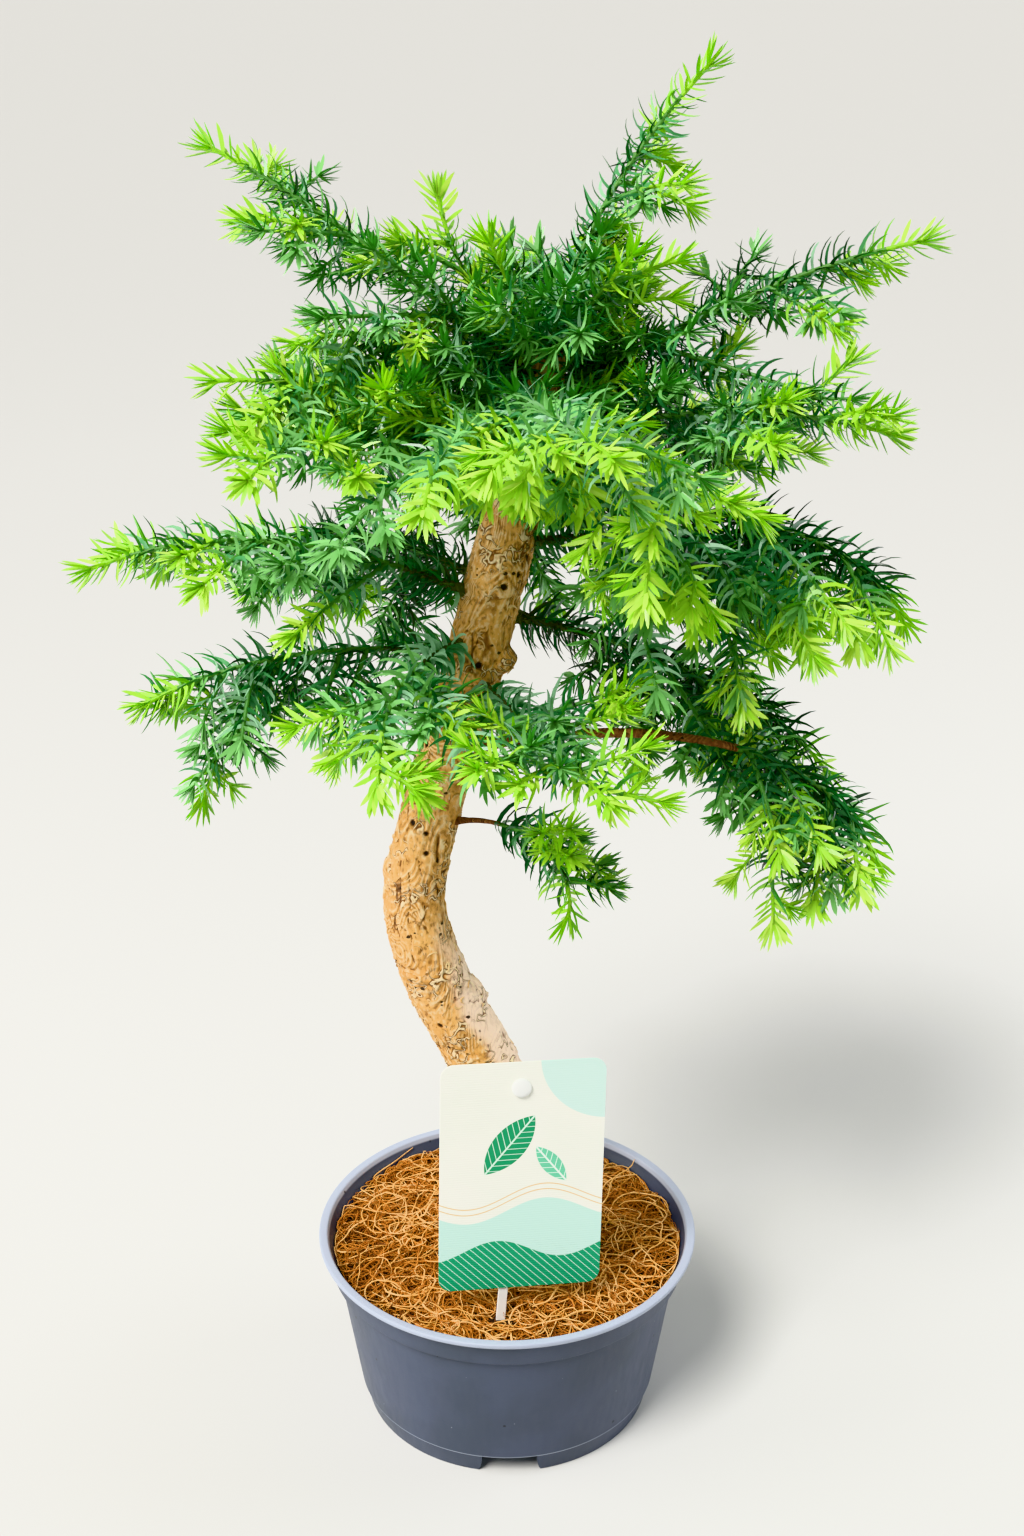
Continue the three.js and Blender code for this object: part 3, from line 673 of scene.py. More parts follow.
def line_mesh(name: str, lines: Sequence[tuple[Array, Array]]) -> Mesh:
    """Joins lines of points into one mesh of edges, with each point's thickness.

    Args:
        name: The mesh's name.
        lines: Points and radii, in millimetres.

    Returns:
        The mesh, in metres.
    """
    points = np.concatenate([line[0] for line in lines])
    thickness = np.concatenate([line[1] for line in lines])
    edges = []
    first = 0
    for line, _ in lines:
        edges += [(first + i, first + i + 1) for i in range(len(line) - 1)]
        first += len(line)
    mesh = bpy.data.meshes.new(name)
    mesh.from_pydata((points * MM).tolist(), edges, [])
    store(mesh, "thickness", "FLOAT", thickness * MM)
    return mesh


def store(mesh: Mesh, name: str, kind: str, values: Array) -> None:
    """Stores an attribute on a mesh's points."""
    attribute = mesh.attributes.new(name, kind, "POINT")
    key = "vector" if kind == "FLOAT_VECTOR" else "value"
    typed = np.asarray(values, np.int32 if kind == "INT" else np.float32)
    attribute.data.foreach_set(key, typed.ravel())


def ring_faces(rings: int, sides: int, caps: bool) -> list[list[int]]:
    """The faces of a skin through rings of points, numbered ring by ring.

    Args:
        rings: How many rings there are.
        sides: How many points a ring has.
        caps: Whether the two ends are closed by flat faces.

    Returns:
        The points of each face.
    """
    faces = []
    for r in range(rings - 1):
        for j in range(sides):
            k = (j + 1) % sides
            faces.append([r * sides + j, r * sides + k, (r + 1) * sides + k, (r + 1) * sides + j])
    if caps:
        faces.append(list(range(sides - 1, -1, -1)))
        faces.append(list(range((rings - 1) * sides, rings * sides)))
    return faces


def settle(piece: bpy.types.Object, nodes: Iterable[str] = ()) -> None:
    """Puts a finished piece on the plant's body.

    Args:
        piece: The piece.
        nodes: The solids that it stands for, if any.
    """
    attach(piece, BODY)
    named = list(nodes)
    if named:
        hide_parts(*named)
    LOG.info("%s: %d faces, stands for %d nodes", piece.name, len(piece.data.polygons), len(named))


@cache
def tube_growth() -> Growth:
    """The tree that turns lines with a thickness into round stems."""
    made = Growth("stems_along_lines", Sides=Kind.COUNT)
    line = made.read("GeometryNodeMeshToCurve", Mesh=made.given("Geometry"))
    ring = made.read("GeometryNodeCurvePrimitiveCircle", Resolution=made.given("Sides"), Radius=1.0)
    tube = made.read(
        "GeometryNodeCurveToMesh", Curve=line, Profile_Curve=ring, Scale=made.named("thickness", "FLOAT"),
        Fill_Caps=True,
    )
    made.end(tube)
    return made


@cache
def relief_growth() -> Growth:
    """The tree that raises swirls, wandering ridges, wrinkles, cracks and pits out of a smooth skin."""
    made = Growth("bark_relief", Depth=Kind.VALUE, Fineness=Kind.VALUE, Ridges=Kind.VALUE, Pits=Kind.VALUE)
    place = made.scaled(made.read("GeometryNodeInputPosition"), made.given("Fineness"))
    ridges, pits = made.given("Ridges"), made.given("Pits")

    def noise(upward: float, scale: float, detail: float, twist: float = 0.0) -> Value:
        """A noise about zero, on coordinates scaled along the height."""
        return made.noise(made.stretched(place, upward), scale, detail, twist) - 0.5

    lines = made.math("PINGPONG", noise(0.6, 26.0, 1.5, 0.8) * 26.0, 1.0)
    swirls = (lines - 0.5) * noise(1.0, 38.0, 1.0).ease(-0.1, 0.14)
    line = abs(noise(0.75, 88.0, 1.0, 1.0))
    patches = noise(0.8, 70.0, 2.0).ease(-0.02, 0.06)
    worms = (line.ease(0.034, 0.01) * 2.0 - line.ease(0.085, 0.03) * 0.85) * patches
    split = abs(noise(0.22, 120.0, 2.5, 0.5))
    cracks = split.ease(0.028, 0.0) * noise(0.5, 40.0, 1.0).ease(0.02, 0.12)
    cells = made.node("ShaderNodeTexVoronoi", Vector=place, Scale=165.0)
    pick = made.read("FunctionNodeSeparateColor", Color=made.value(cells, "Color")).ease(0.7, 0.76)
    crowded = noise(1.6, 34.0, 1.0).ease(-0.05, 0.12)
    holes = made.value(cells, "Distance").ease(0.34, 0.14) * pick * crowded * pits
    height = (
        noise(0.8, 40.0, 2.0) * 0.8 + noise(2.6, 95.0, 4.0) * 0.6 + noise(0.8, 330.0, 4.0) * 1.3
        + swirls * ridges * 0.7 + worms * ridges * 0.6 - cracks * ridges * 0.9 - holes * 1.7
    )
    kept = made.read(
        "GeometryNodeStoreNamedAttribute", 0, {"data_type": "FLOAT", "domain": "POINT"},
        Geometry=made.given("Geometry"), Name="relief", Value=height,
    )
    push = made.scaled(made.read("GeometryNodeInputNormal"), height * made.given("Depth"))
    made.end(made.read("GeometryNodeSetPosition", Geometry=kept, Offset=push))
    return made


@cache
def needle_growth() -> Growth:
    """The tree that stands a needle on every point, by the point's own axes, size and shape."""
    made = Growth("needles_on_points", Shapes=Kind.COLLECTION, Face=Kind.MATERIAL)
    shapes = made.read(
        "GeometryNodeCollectionInfo", Collection=made.given("Shapes"), Separate_Children=True,
        Reset_Children=True,
    )
    turn = made.read(
        "FunctionNodeAxesToRotation", 0, {"primary_axis": "X", "secondary_axis": "Z"},
        Primary_Axis=made.named("along", "FLOAT_VECTOR"), Secondary_Axis=made.named("face", "FLOAT_VECTOR"),
    )
    stood = made.read(
        "GeometryNodeInstanceOnPoints", Points=made.given("Geometry"), Instance=shapes, Pick_Instance=True,
        Instance_Index=made.named("shape", "INT"), Rotation=turn, Scale=made.named("size", "FLOAT_VECTOR"),
    )
    made.end(stood, "upper")
    return made


@cache
def curl_growth() -> Growth:
    """The tree that scatters curls of peeling bark over a skin."""
    made = Growth("peeling_curls", Curl=Kind.OBJECT, Density=Kind.VALUE, Seed=Kind.COUNT)
    seed = made.given("Seed")
    spread = made.node(
        "GeometryNodeDistributePointsOnFaces", Mesh=made.given("Geometry"), Density=made.given("Density"),
        Seed=seed,
    )
    spin, size = (
        made.read("FunctionNodeRandomValue", 0, {"data_type": "FLOAT_VECTOR"}, Min=low, Max=high, Seed=seed)
        for low, high in (
            ((0.0, 0.0, -math.pi), (0.0, 0.0, math.pi)),
            ((0.45, 0.35, 0.6), (1.5, 1.2, 1.1)),
        )
    )
    turn = made.read(
        "FunctionNodeRotateRotation", 0, {"rotation_space": "LOCAL"},
        Rotation=made.value(spread, "Rotation"), Rotate_By=spin,
    )
    curl = made.read("GeometryNodeObjectInfo", "Geometry", Object=made.given("Curl"))
    stood = made.read(
        "GeometryNodeInstanceOnPoints", Points=made.value(spread, "Points"), Instance=curl, Rotation=turn,
        Scale=size,
    )
    made.end(stood)
    return made


@dataclass(frozen=True)
class Path:
    """Points with a direction at each, evenly spaced, read at any distance from the root."""

    points: Array
    directions: Array

    @property
    def step(self) -> float:
        """The distance between neighbouring points."""
        return float(np.linalg.norm(self.points[1] - self.points[0]))

    @property
    def length(self) -> float:
        """The whole length."""
        return self.step * (len(self.points) - 1)

    def at(self, distance: Any) -> tuple[Array, Array]:
        """The place and direction at one or more distances.

        Args:
            distance: Millimetres from the root, one or many.

        Returns:
            The points and the unit directions there.
        """
        along = np.clip(np.asarray(distance, float) / self.step, 0.0, len(self.points) - 1 - TINY)
        i = along.astype(int)
        share = (along - i)[..., None]
        point = self.points[i] * (1.0 - share) + self.points[i + 1] * share
        return point, unit(self.directions[i] * (1.0 - share) + self.directions[i + 1] * share)


def walked(root: Array, directions: Array, length: float) -> Path:
    """The path that starts at a root and takes even steps along directions, the last one left over.

    Args:
        root: Where it starts.
        directions: The unit direction of each step, and one more for the end.
        length: Its whole length.

    Returns:
        The path.
    """
    steps = directions[:-1] * (length / (len(directions) - 1))
    return Path(np.vstack((root, root + np.cumsum(steps, axis=0))), directions)


def sideways(direction: Array) -> tuple[Array, Array]:
    """Two directions square to a path's direction: to its side and to its top."""
    side = unit(np.cross(direction, UP))
    return side, np.cross(side, direction)


@dataclass(frozen=True)
class Station:
    """The trunk's middle and diameter at one height."""

    height: float
    x: float
    y: float
    diameter: float


@dataclass(frozen=True)
class Knot:
    """A cut branch or knot that stands out of the trunk."""

    height: float
    azimuth: float
    radius: float
    reach: float


@dataclass
class Trunk:
    """The leaning trunk with its root flare, knots, scars and bark."""

    stations: tuple[Station, ...] = (
        Station(87.7, 18, 6, 47), Station(105, 14, 5, 38), Station(145, 4, 3, 34.5),
        Station(192, -11.5, 0, 33), Station(240, -33, -5, 31), Station(283, -43, -8, 29),
        Station(330, -34.5, -6, 27.5), Station(381, -19.5, -2, 27), Station(455, -0.5, 3, 26),
        Station(505, 13, 3, 21), Station(540, 19, 2, 12),
    )
    stubs: tuple[Knot, ...] = (Knot(402, -20, 5.5, 4.5), Knot(300, 165, 5, 1.6), Knot(232, 20, 6, 2.4))
    sides: int = 168
    rings: int = 560
    sunk: float = 4.0
    flare_lobes: int = 5
    flare_depth: float = 0.13
    flare_height: float = 45.0
    knot_edge: float = 1.45
    small_knots: int = 18
    knot_room: Pair = (15.0, 40.0)
    knot_radius: Pair = (1.2, 2.6)
    knot_reach: Pair = (-1.3, 0.8)
    scars: int = 15
    scar_room: Pair = (20.0, 30.0)
    scar_turn: float = 6.3
    scar_wave: float = 1.8
    scar_ripple: float = 0.8
    scar_share: float = 0.6
    scar_lift: Pair = (-0.9, 0.7)
    scar_width: Pair = (1.0, 2.4)
    bark_depth: float = 0.8
    curl_density: float = 4200.0
    # The paler side faces front right, low on the trunk: partly the bark's own pale patch, partly painted
    # light on that side.
    pale_azimuth: float = -22.0
    pale_edge: float = 0.45
    pale_top: float = 310.0
    pale_fade: float = 90.0
    curl_seed: int = 11
    curl_rings: int = 9
    curl_sides: int = 6
    curl_radius: float = 2.6
    curl_sweep: float = 130.0
    curl_thin: float = 0.12
    curl_thick: float = 0.34
    curl_swell: float = 0.7
    curl_flat: float = 0.9
    draw: Draw = seeded(11)
    # Its pale colour for raised relief is a painted highlight, its dark colours for hollows and pits painted
    # shade, its pale side colour partly painted light.
    finish: BarkFinish = BarkFinish(
        "trunk_bark", "ecb76e", "dca45b", "fde7bb", "6d4018", "24150a", "ffe2c9"
    )
    curl_finish: SkinFinish = SkinFinish("bark_curl", "ecd09c", "cfa469", 120.0, 0.75)

    @property
    def foot(self) -> float:
        """The height where the trunk meets the fill."""
        return self.stations[0].height

    @property
    def top(self) -> float:
        """The height of the trunk's upper end."""
        return self.stations[-1].height

    def at(self, height: Any) -> tuple[Array, Array, Array]:
        """The middle and radius at heights, on a smooth curve through the stations.

        Args:
            height: One or more heights.

        Returns:
            x, y and radius there.
        """
        rows = np.array([(s.height, s.x, s.y, s.diameter) for s in self.stations])
        asked = np.clip(np.asarray(height, float), rows[0, 0], rows[-1, 0])
        i = np.searchsorted(rows[1:-1, 0], asked, side="left")
        a, b = rows[i], rows[i + 1]
        before, after = rows[np.maximum(i - 1, 0)], rows[np.minimum(i + 2, len(rows) - 1)]
        span = (b[..., 0] - a[..., 0])[..., None]
        t = ((asked - a[..., 0]) / span[..., 0])[..., None]
        start = (b - before) / (b[..., :1] - before[..., :1]) * span
        end = (after - a) / (after[..., :1] - a[..., :1]) * span
        smooth = (
            a * (2 * t ** 3 - 3 * t ** 2 + 1) + start * (t ** 3 - 2 * t ** 2 + t)
            + b * (3 * t ** 2 - 2 * t ** 3) + end * (t ** 3 - t ** 2)
        )
        return smooth[..., 1], smooth[..., 2], smooth[..., 3] / 2.0

    def radius(self, height: float) -> float:
        """The radius at one height."""
        return float(self.at(height)[2])

    def middle(self, height: float) -> Array:
        """The middle at one height, in plan."""
        x, y, _ = self.at(height)
        return np.array((float(x), float(y)))

    def clearance(self, points: Array) -> Array:
        """How far points lie outside the trunk; negative inside it."""
        x, y, radius = self.at(points[..., 2])
        away = np.hypot(points[..., 0] - x, points[..., 1] - y) - radius
        over = np.maximum(points[..., 2] - self.top, 0.0)
        return np.hypot(np.maximum(away, 0.0), over) + np.minimum(away, 0.0) * (over <= 0.0)

    def build(self) -> None:
        """Makes the bark and its peeling curls."""
        bark = relief_growth().grow(
            "trunk_bark", self._skin(), Depth=self.bark_depth * MM, Fineness=1.0, Ridges=1.0, Pits=1.0,
            Material=self.finish.make(),
        )
        curl = new_object("curl_shape", self._curl())
        peel = curl_growth().grow(
            "trunk_curls", bark.data.copy(), Curl=curl, Density=self.curl_density, Seed=self.curl_seed,
            Material=self.curl_finish.make(),
        )
        bpy.data.objects.remove(curl)
        settle(bark, ["trunk"])
        settle(peel)

    def _skin(self) -> Mesh:
        """The trunk before its bark is raised."""
        height = np.linspace(self.foot - self.sunk, self.top, self.rings)[:, None]
        turn = (np.arange(self.sides) / self.sides * FULL_TURN)[None, :]
        x, y, radius = self.at(height)
        flare = self.flare_depth * np.clip(1.0 - (height - self.foot) / self.flare_height, 0.0, 1.0)
        out = radius * (1.0 + flare * np.cos(self.flare_lobes * turn))
        for knot in (*self.stubs, *self._small_knots()):
            bend = (turn - math.radians(knot.azimuth) + math.pi) % FULL_TURN - math.pi
            away = np.hypot(height - knot.height, radius * bend)
            out = out + knot.reach * smooth_step(self.knot_edge - away / knot.radius)
        for _ in range(self.scars):
            out = out + self._scar(height, turn)
        ahead = self.at(height + 1.0)
        stretch = np.hypot(1.0, np.hypot(ahead[0] - x, ahead[1] - y))
        points = np.stack(
            np.broadcast_arrays(x + out * stretch * np.cos(turn), y + out * np.sin(turn), height), axis=-1
        )
        mesh = mesh_from("trunk_bark", points.reshape(-1, 3), ring_faces(self.rings, self.sides, True))
        # Marks the paler side: partly the bark's own pale patch, partly painted light on that side.
        facing = np.cos(turn - math.radians(self.pale_azimuth)) - self.pale_edge
        pale = smooth_step(facing / (1.0 - self.pale_edge))
        pale = pale * smooth_step((self.pale_top - height) / self.pale_fade)
        store(mesh, "pale", "FLOAT", pale.ravel())
        return mesh

    def _small_knots(self) -> list[Knot]:
        """Knots too small for the solids, some raised and some sunk."""
        heights = (self.foot + self.knot_room[0], self.top - self.knot_room[1])
        ranges = (heights, (-180.0, 180.0), self.knot_radius, self.knot_reach)
        return [Knot(*(self.draw.uniform(*limits) for limits in ranges)) for _ in range(self.small_knots)]

    def _scar(self, height: Array, turn: Array) -> Array:
        """How far one wavy scar lifts or sinks the skin, part of the way round.

        Args:
            height: The heights of the skin's rings.
            turn: The angles of the skin's sides.

        Returns:
            The rise at each point of the skin.
        """
        level = self.draw.uniform(self.foot + self.scar_room[0], self.top - self.scar_room[1])
        first, second, third = self.draw.uniform(0.0, self.scar_turn, 3)
        wave = self.scar_wave * np.sin(turn + first) + self.scar_ripple * np.sin(3 * turn + second)
        share = smooth_step(self.scar_share + np.sin(turn + third))
        lift = self.draw.uniform(*self.scar_lift)
        width = self.draw.uniform(*self.scar_width)
        return lift * share * np.exp(-(((height - level - wave) / width) ** 2))

    def _curl(self) -> Mesh:
        """One curl: a low ridge along an arc, thin at both ends and half sunk in the bark."""
        points = []
        for i in range(self.curl_rings):
            share = i / (self.curl_rings - 1)
            angle = math.radians(self.curl_sweep * (share - 0.5))
            thick = self.curl_thin + self.curl_thick * math.sin(math.pi * share) ** self.curl_swell
            outward = np.array((math.cos(angle), math.sin(angle), 0.0))
            middle = outward * self.curl_radius - np.array((self.curl_radius, 0.0, 0.0))
            for j in range(self.curl_sides):
                turn = FULL_TURN * j / self.curl_sides
                rise = UP * thick * self.curl_flat * math.sin(turn)
                points.append(middle + outward * thick * math.cos(turn) + rise)
        return mesh_from("curl_shape", np.array(points), ring_faces(self.curl_rings, self.curl_sides, True))


@dataclass(frozen=True)
class Bough:
    """One bough: where it leaves the trunk, how it bends, and how its foliage grows."""

    name: str
    height: float
    azimuth: float
    rise: float
    droop: float
    swing: float
    length: float
    bare: float
    hang: float
    reach: float
    seed: float


BOUGHS = (
    Bough("leader", 538, 70, 60, -12, -85, 140, 30, 0.8, 0.8, 72),
    Bough("top_left", 522, 168, 40, -14, 2, 174, 40, 0.2, 1, 64),
    Bough("upper_right", 515, 12, 30, -19, -10, 178, 44, 0.2, 0.8, 79),
    Bough("top_mid", 530, 150, 34, 40, -14, 92, 28, 0.2, 0.8, 99),
    Bough("top_front", 534, -38, 54, -8, 5, 66, 24, 0.2, 1.2, 36),
    Bough("small_left", 510, -172, 44, -62, -2, 114, 34, 0.8, 1.2, 81),
    Bough("left_upper", 498, -158, 26, -26, -12, 142, 36, 0.8, 1, 69),
    Bough("front_left", 488, -168, 22, -32, 66, 166, 40, -0.2, 0.8, 29),
    Bough("front_mid_left", 502, -118, 22, -46, 22, 152, 42, 0.8, 1.2, 27),
    Bough("front_mid", 514, -98, 17, -24, 34, 156, 40, 0.8, 1.2, 61),
    Bough("mid_right", 502, -16, 16, -30, 6, 154, 40, -0.2, 1, 48),
    Bough("front_right", 488, -60, 12, -10, 8, 140, 40, 0.8, 1.2, 61),
    Bough("back_right", 490, 62, 4, -40, -32, 176, 42, -0.2, 1.2, 92),
    Bough("back_left", 484, 126, 16, -34, 6, 170, 42, -0.2, 1, 57),
    Bough("back_top", 526, 84, 28, -34, 16, 130, 34, 0.8, 1, 54),
    Bough("far_right", 470, -24, 10, -68, 60, 206, 48, 0.8, 1, 80),
    Bough("front_right_mid", 452, -8, 16, -68, -34, 158, 42, 0.8, 1.2, 60),
    Bough("mid_left", 428, -174, 26, -46, 4, 180, 40, 0.2, 0.8, 83),
    Bough("back_mid", 455, 92, 6, -30, -10, 142, 42, 0.8, 1.2, 18),
    Bough("back_low_left", 436, 138, 8, -36, -14, 160, 40, 0.8, 1.2, 79),
    Bough("low_left", 404, 178, 5, -30, 16, 152, 40, 0.8, 0.8, 54),
    Bough("low_front", 412, -138, 2, -46, 52, 116, 38, 0.2, 1.2, 25),
    Bough("low_front_right", 394, -60, -6, -6, 0, 118, 38, -0.2, 1.2, 40),
    Bough("back_low_right", 424, 10, -16, -36, 18, 205, 48, 0.8, 1.2, 36),
    Bough("under_right", 358, -20, 18, -86, 48, 236, 132, 0.8, 1, 5),
    Bough("lowest", 321, -22, 24, -128, 2, 98, 36, -0.2, 1.2, 73),
)
BARE_LIMBS = ("under_right", "lowest")
FOLIAGE_NODES = ["foliage_" + bough.name for bough in BOUGHS]


@dataclass(frozen=True)
class Pendant:
    """A long shoot that hangs from a bough."""

    bough: str
    distance: float
    size: float
    hang: float
    seed: float


PENDANTS = (
    Pendant("low_left", 92.0, 90.0, 2.0, 611.0),
    Pendant("under_right", 150.0, 78.0, 2.0, 613.0),
    Pendant("under_right", 188.0, 50.0, 2.0, 617.0),
)
HUNG_SEEDS = [hung.seed for hung in PENDANTS]


@dataclass
class Stem:
    """A stretch of stem that carries needles."""

    path: Path
    start: float
    end: float
    radii: Pair
    order: Order
    seed: float
    young: bool

    def radius(self, distance: Array) -> Array:
        """The stem's radius along its stretch."""
        share = (distance - self.start) / max(self.end - self.start, TINY)
        return self.radii[0] + (self.radii[1] - self.radii[0]) * np.clip(share, 0.0, 1.0)

    def new_from(self, reach: float) -> float:
        """Where its new growth starts, if it has any, which takes up its last reach at most."""
        return max(self.start, self.end - reach) if self.young else self.end


@dataclass
class LimbRule:
    """How every bough bends and tapers."""

    steps: int = 24
    bend: float = 1.5
    root_radius: float = 0.9
    radius_per_length: float = 0.009
    end_share: float = 0.55
    collar: float = 0.4
    collar_reach: float = 9.0

    def path(self, bough: Bough, trunk: Trunk) -> Path:
        """A bough's whole axis, from the trunk's middle to the tip of its foliage.

        Args:
            bough: The bough.
            trunk: The trunk that it leaves.

        Returns:
            The axis.
        """
        t = np.minimum((np.arange(self.steps + 1) + 0.5) / self.steps, 1.0)
        pitch = np.radians(bough.rise + bough.droop * t ** self.bend)
        turn = np.radians(bough.azimuth + bough.swing * t)
        level = np.cos(pitch)
        directions = np.stack((level * np.cos(turn), level * np.sin(turn), np.sin(pitch)), axis=-1)
        root = np.append(trunk.middle(bough.height), bough.height)
        return walked(root, directions, bough.length)

    def radius(self, bough: Bough, trunk: Trunk, distance: Array) -> Array:
        """A bough's radius along its bare limb."""
        root = self.root_radius + self.radius_per_length * bough.length
        taper = 1.0 - (1.0 - self.end_share) * (distance / bough.bare)
        outside = distance - trunk.radius(bough.height)
        return root * (taper + self.collar * np.clip(1.0 - outside / self.collar_reach, 0.0, 1.0))


@dataclass
class ShootRule:
    """How side shoots leave a stem, and how finer twigs leave the shoots.

    A pair of a value and a span stands for what chance adds to the value.
    """

    first: float = 9.0
    last: float = 24.0
    gap: float = 26.0
    gap_spread: float = 0.4
    lean: Pair = (44.0, 22.0)
    roll: float = 90.0
    roll_hang: float = 45.0
    roll_spread: float = 70.0
    size: float = 22.0
    size_per_length: float = 0.4
    size_spread: float = 0.5
    longest: float = 78.0
    sag: float = 0.5
    steps: int = 6
    seed_step: float = 17.0
    between: float = 0.5
    between_share: float = 0.8
    twig_first: float = 9.0
    twig_start: float = 6.0
    twig_gap: float = 12.0
    twig_share: float = 0.42
    twig_sizes: Pair = (0.7, 0.6)
    twig_base: float = 6.0
    twig_longest: float = 26.0
    twig_shortest: float = 9.0
    twig_kept: float = 0.72
    twig_hang: float = 0.5
    twig_seed: float = 0.37
    inner_size: float = 32.0
    inner_sizes: Pair = (0.75, 0.6)
    inner_gap: float = 9.0
    inner_hang: float = 0.4
    gaps: Pair = (0.75, 0.5)

    def shoot(self, path: Path, distance: float, side: int, hang: float, size: float, seed: float) -> Path:
        """One shoot's path, by chance from its seed.

        Args:
            path: The path that it leaves.
            distance: Where it leaves.
            side: To which side, 1 or -1.
            hang: How much it hangs.
            size: Its length.
            seed: The seed of its chance values.

        Returns:
            The shoot's path.
        """
        point, direction = path.at(distance)
        across, top = sideways(direction)
        roll_chance = self.roll_spread * (chance(seed, Luck.ROLL) - 0.5)
        roll = side * math.radians(self.roll + self.roll_hang * hang + roll_chance)
        lean = math.radians(varied(self.lean, seed, Luck.LEAN))
        start = direction * math.cos(lean)
        start = start + (across * math.sin(roll) + top * math.cos(roll)) * math.sin(lean)
        sag = self.sag * hang * (np.arange(self.steps + 1) + 0.5) / self.steps
        return walked(point, unit(start[None, :] - UP[None, :] * sag[:, None]), size)

    def shoots(self, bough: Bough, path: Path) -> list[tuple[Path, float]]:
        """A stem's side shoots with their seeds, and shorter ones between them.

        Args:
            bough: The stem's bough.
            path: The bough's axis.

        Returns:
            Each shoot's path and seed.
        """
        made = []
        side = first_side(bough.seed, Luck.SIDE)
        gaps = (1.0 - self.gap_spread / 2, self.gap_spread)
        sizes = (1.0 - self.size_spread / 2, self.size_spread)
        distance = bough.bare + self.first
        k = 0
        while distance < bough.length - self.last:
            gap = self.gap * varied(gaps, bough.seed + self.seed_step * k, Luck.GAP)
            for offset, share in ((0.0, 1.0), (self.between, self.between_share)):
                seed = bough.seed + self.seed_step * (k + offset)
                place = distance + gap * offset
                size = bough.reach * (self.size_per_length * (bough.length - place) + self.size)
                size = min(self.longest, size * varied(sizes, seed, Luck.SIZE)) * share
                made.append((self.shoot(path, place, side, bough.hang, size, seed), seed))
            distance += gap
            side = -side
            k += 1
        return made

    def hung(self, bough: Bough, path: Path) -> list[tuple[Path, float]]:
        """The long shoots that hang from a bough, with their seeds."""
        return [
            (self.shoot(path, hung.distance, 1, hung.hang, hung.size, hung.seed), hung.seed)
            for hung in PENDANTS if hung.bough == bough.name
        ]

    def inner(self, bough: Bough, path: Path, start: float) -> list[tuple[Path, float]]:
        """Short shoots on the inner stretch of a bough, with their seeds.

        Args:
            bough: The bough.
            path: Its axis.
            start: Where the first one stands.

        Returns:
            Each shoot's path and seed.
        """
        made = []
        side = first_side(bough.seed, Luck.INNER_SIDE)
        distance = start
        while distance < bough.bare + self.first:
            seed = bough.seed + distance
            size = self.inner_size * varied(self.inner_sizes, seed, Luck.SIZE)
            made.append((self.shoot(path, distance, side, bough.hang * self.inner_hang, size, seed), seed))
            distance += self.inner_gap * varied(self.gaps, seed, Luck.GAP)
            side = -side
        return made

    def twigs(self, shoot: Path, hang: float, seed: float) -> list[tuple[Path, float]]:
        """A shoot's finer twigs with their seeds.

        Args:
            shoot: The shoot's path.
            hang: How much it hangs.
            seed: Its seed.

        Returns:
            Each twig's path and seed.
        """
        made = []
        side = first_side(seed, Luck.TWIG_SIDE)
        distance = varied((self.twig_first, self.twig_start), seed, Luck.TWIG_START)
        k = 0
        while distance < shoot.length - self.twig_shortest:
            twig_seed = seed + self.twig_seed * (k + 1)
            room = self.twig_share * (shoot.length - distance)
            size = room * varied(self.twig_sizes, twig_seed, Luck.SIZE)
            size = min(self.twig_longest, size + self.twig_base)
            if size > self.twig_shortest and chance(twig_seed, Luck.TWIG_KEPT) < self.twig_kept:
                twig = self.shoot(shoot, distance, side, hang * self.twig_hang, size, twig_seed)
                made.append((twig, twig_seed))
            distance += self.twig_gap * varied(self.gaps, twig_seed, Luck.GAP)
            side = -side
            k += 1
        return made


@dataclass(frozen=True)
class NeedleShape:
    """A needle of unit length: a flat upper face over a keel, bent one way."""

    name: str
    bend: float
    sweep: Sweep
    sections: tuple[float, ...]
    widths: tuple[float, ...]
    keel: float = 0.34
    sharp: float = 40.0

    def frame(self, share: float) -> tuple[Array, Array, Array]:
        """The blade's middle, its direction to the left edge and its upper side.

        Args:
            share: How far along the blade, from 0 at its root to 1 at its tip.

        Returns:
            The point and the two directions there.
        """
        whole = math.radians(self.bend)
        sine, cosine = math.sin(whole * share), math.cos(whole * share)
        ahead, aside = sine / whole, (1.0 - cosine) / whole
        if self.sweep is Sweep.FACE:
            return np.array((ahead, 0.0, aside)), np.array((0.0, 1.0, 0.0)), np.array((-sine, 0.0, cosine))
        side = 1.0 if self.sweep is Sweep.LEFT else -1.0
        return np.array((ahead, side * aside, 0.0)), np.array((-side * sine, cosine, 0.0)), UP

    def mesh(self) -> Mesh:
        """Builds the closed blade and marks the faces of its upper side."""
        points = []
        for share, width in zip(self.sections, self.widths):
            middle, left, up = self.frame(share)
            points += [middle + left * width / 2, middle - left * width / 2, middle - up * self.keel * width]
        points.append(self.frame(1.0)[0])
        rings = len(self.sections)
        tip = rings * 3
        faces = ring_faces(rings, 3, False)
        faces += [[tip - 3 + j, tip - 3 + (j + 1) % 3, tip] for j in range(3)]
        upper = np.arange(len(faces)) % 3 == 0
        mesh = mesh_from(self.name, np.array(points) / MM, [*faces, [2, 1, 0]])
        mesh.set_sharp_from_angle(angle=math.radians(self.sharp))
        mark = mesh.attributes.new("upper", "BOOLEAN", "FACE")
        mark.data.foreach_set("value", np.append(upper, False))
        return mesh

    @property
    def triangles(self) -> int:
        """How many triangles the blade has."""
        return (len(self.sections) - 1) * 6 + 4


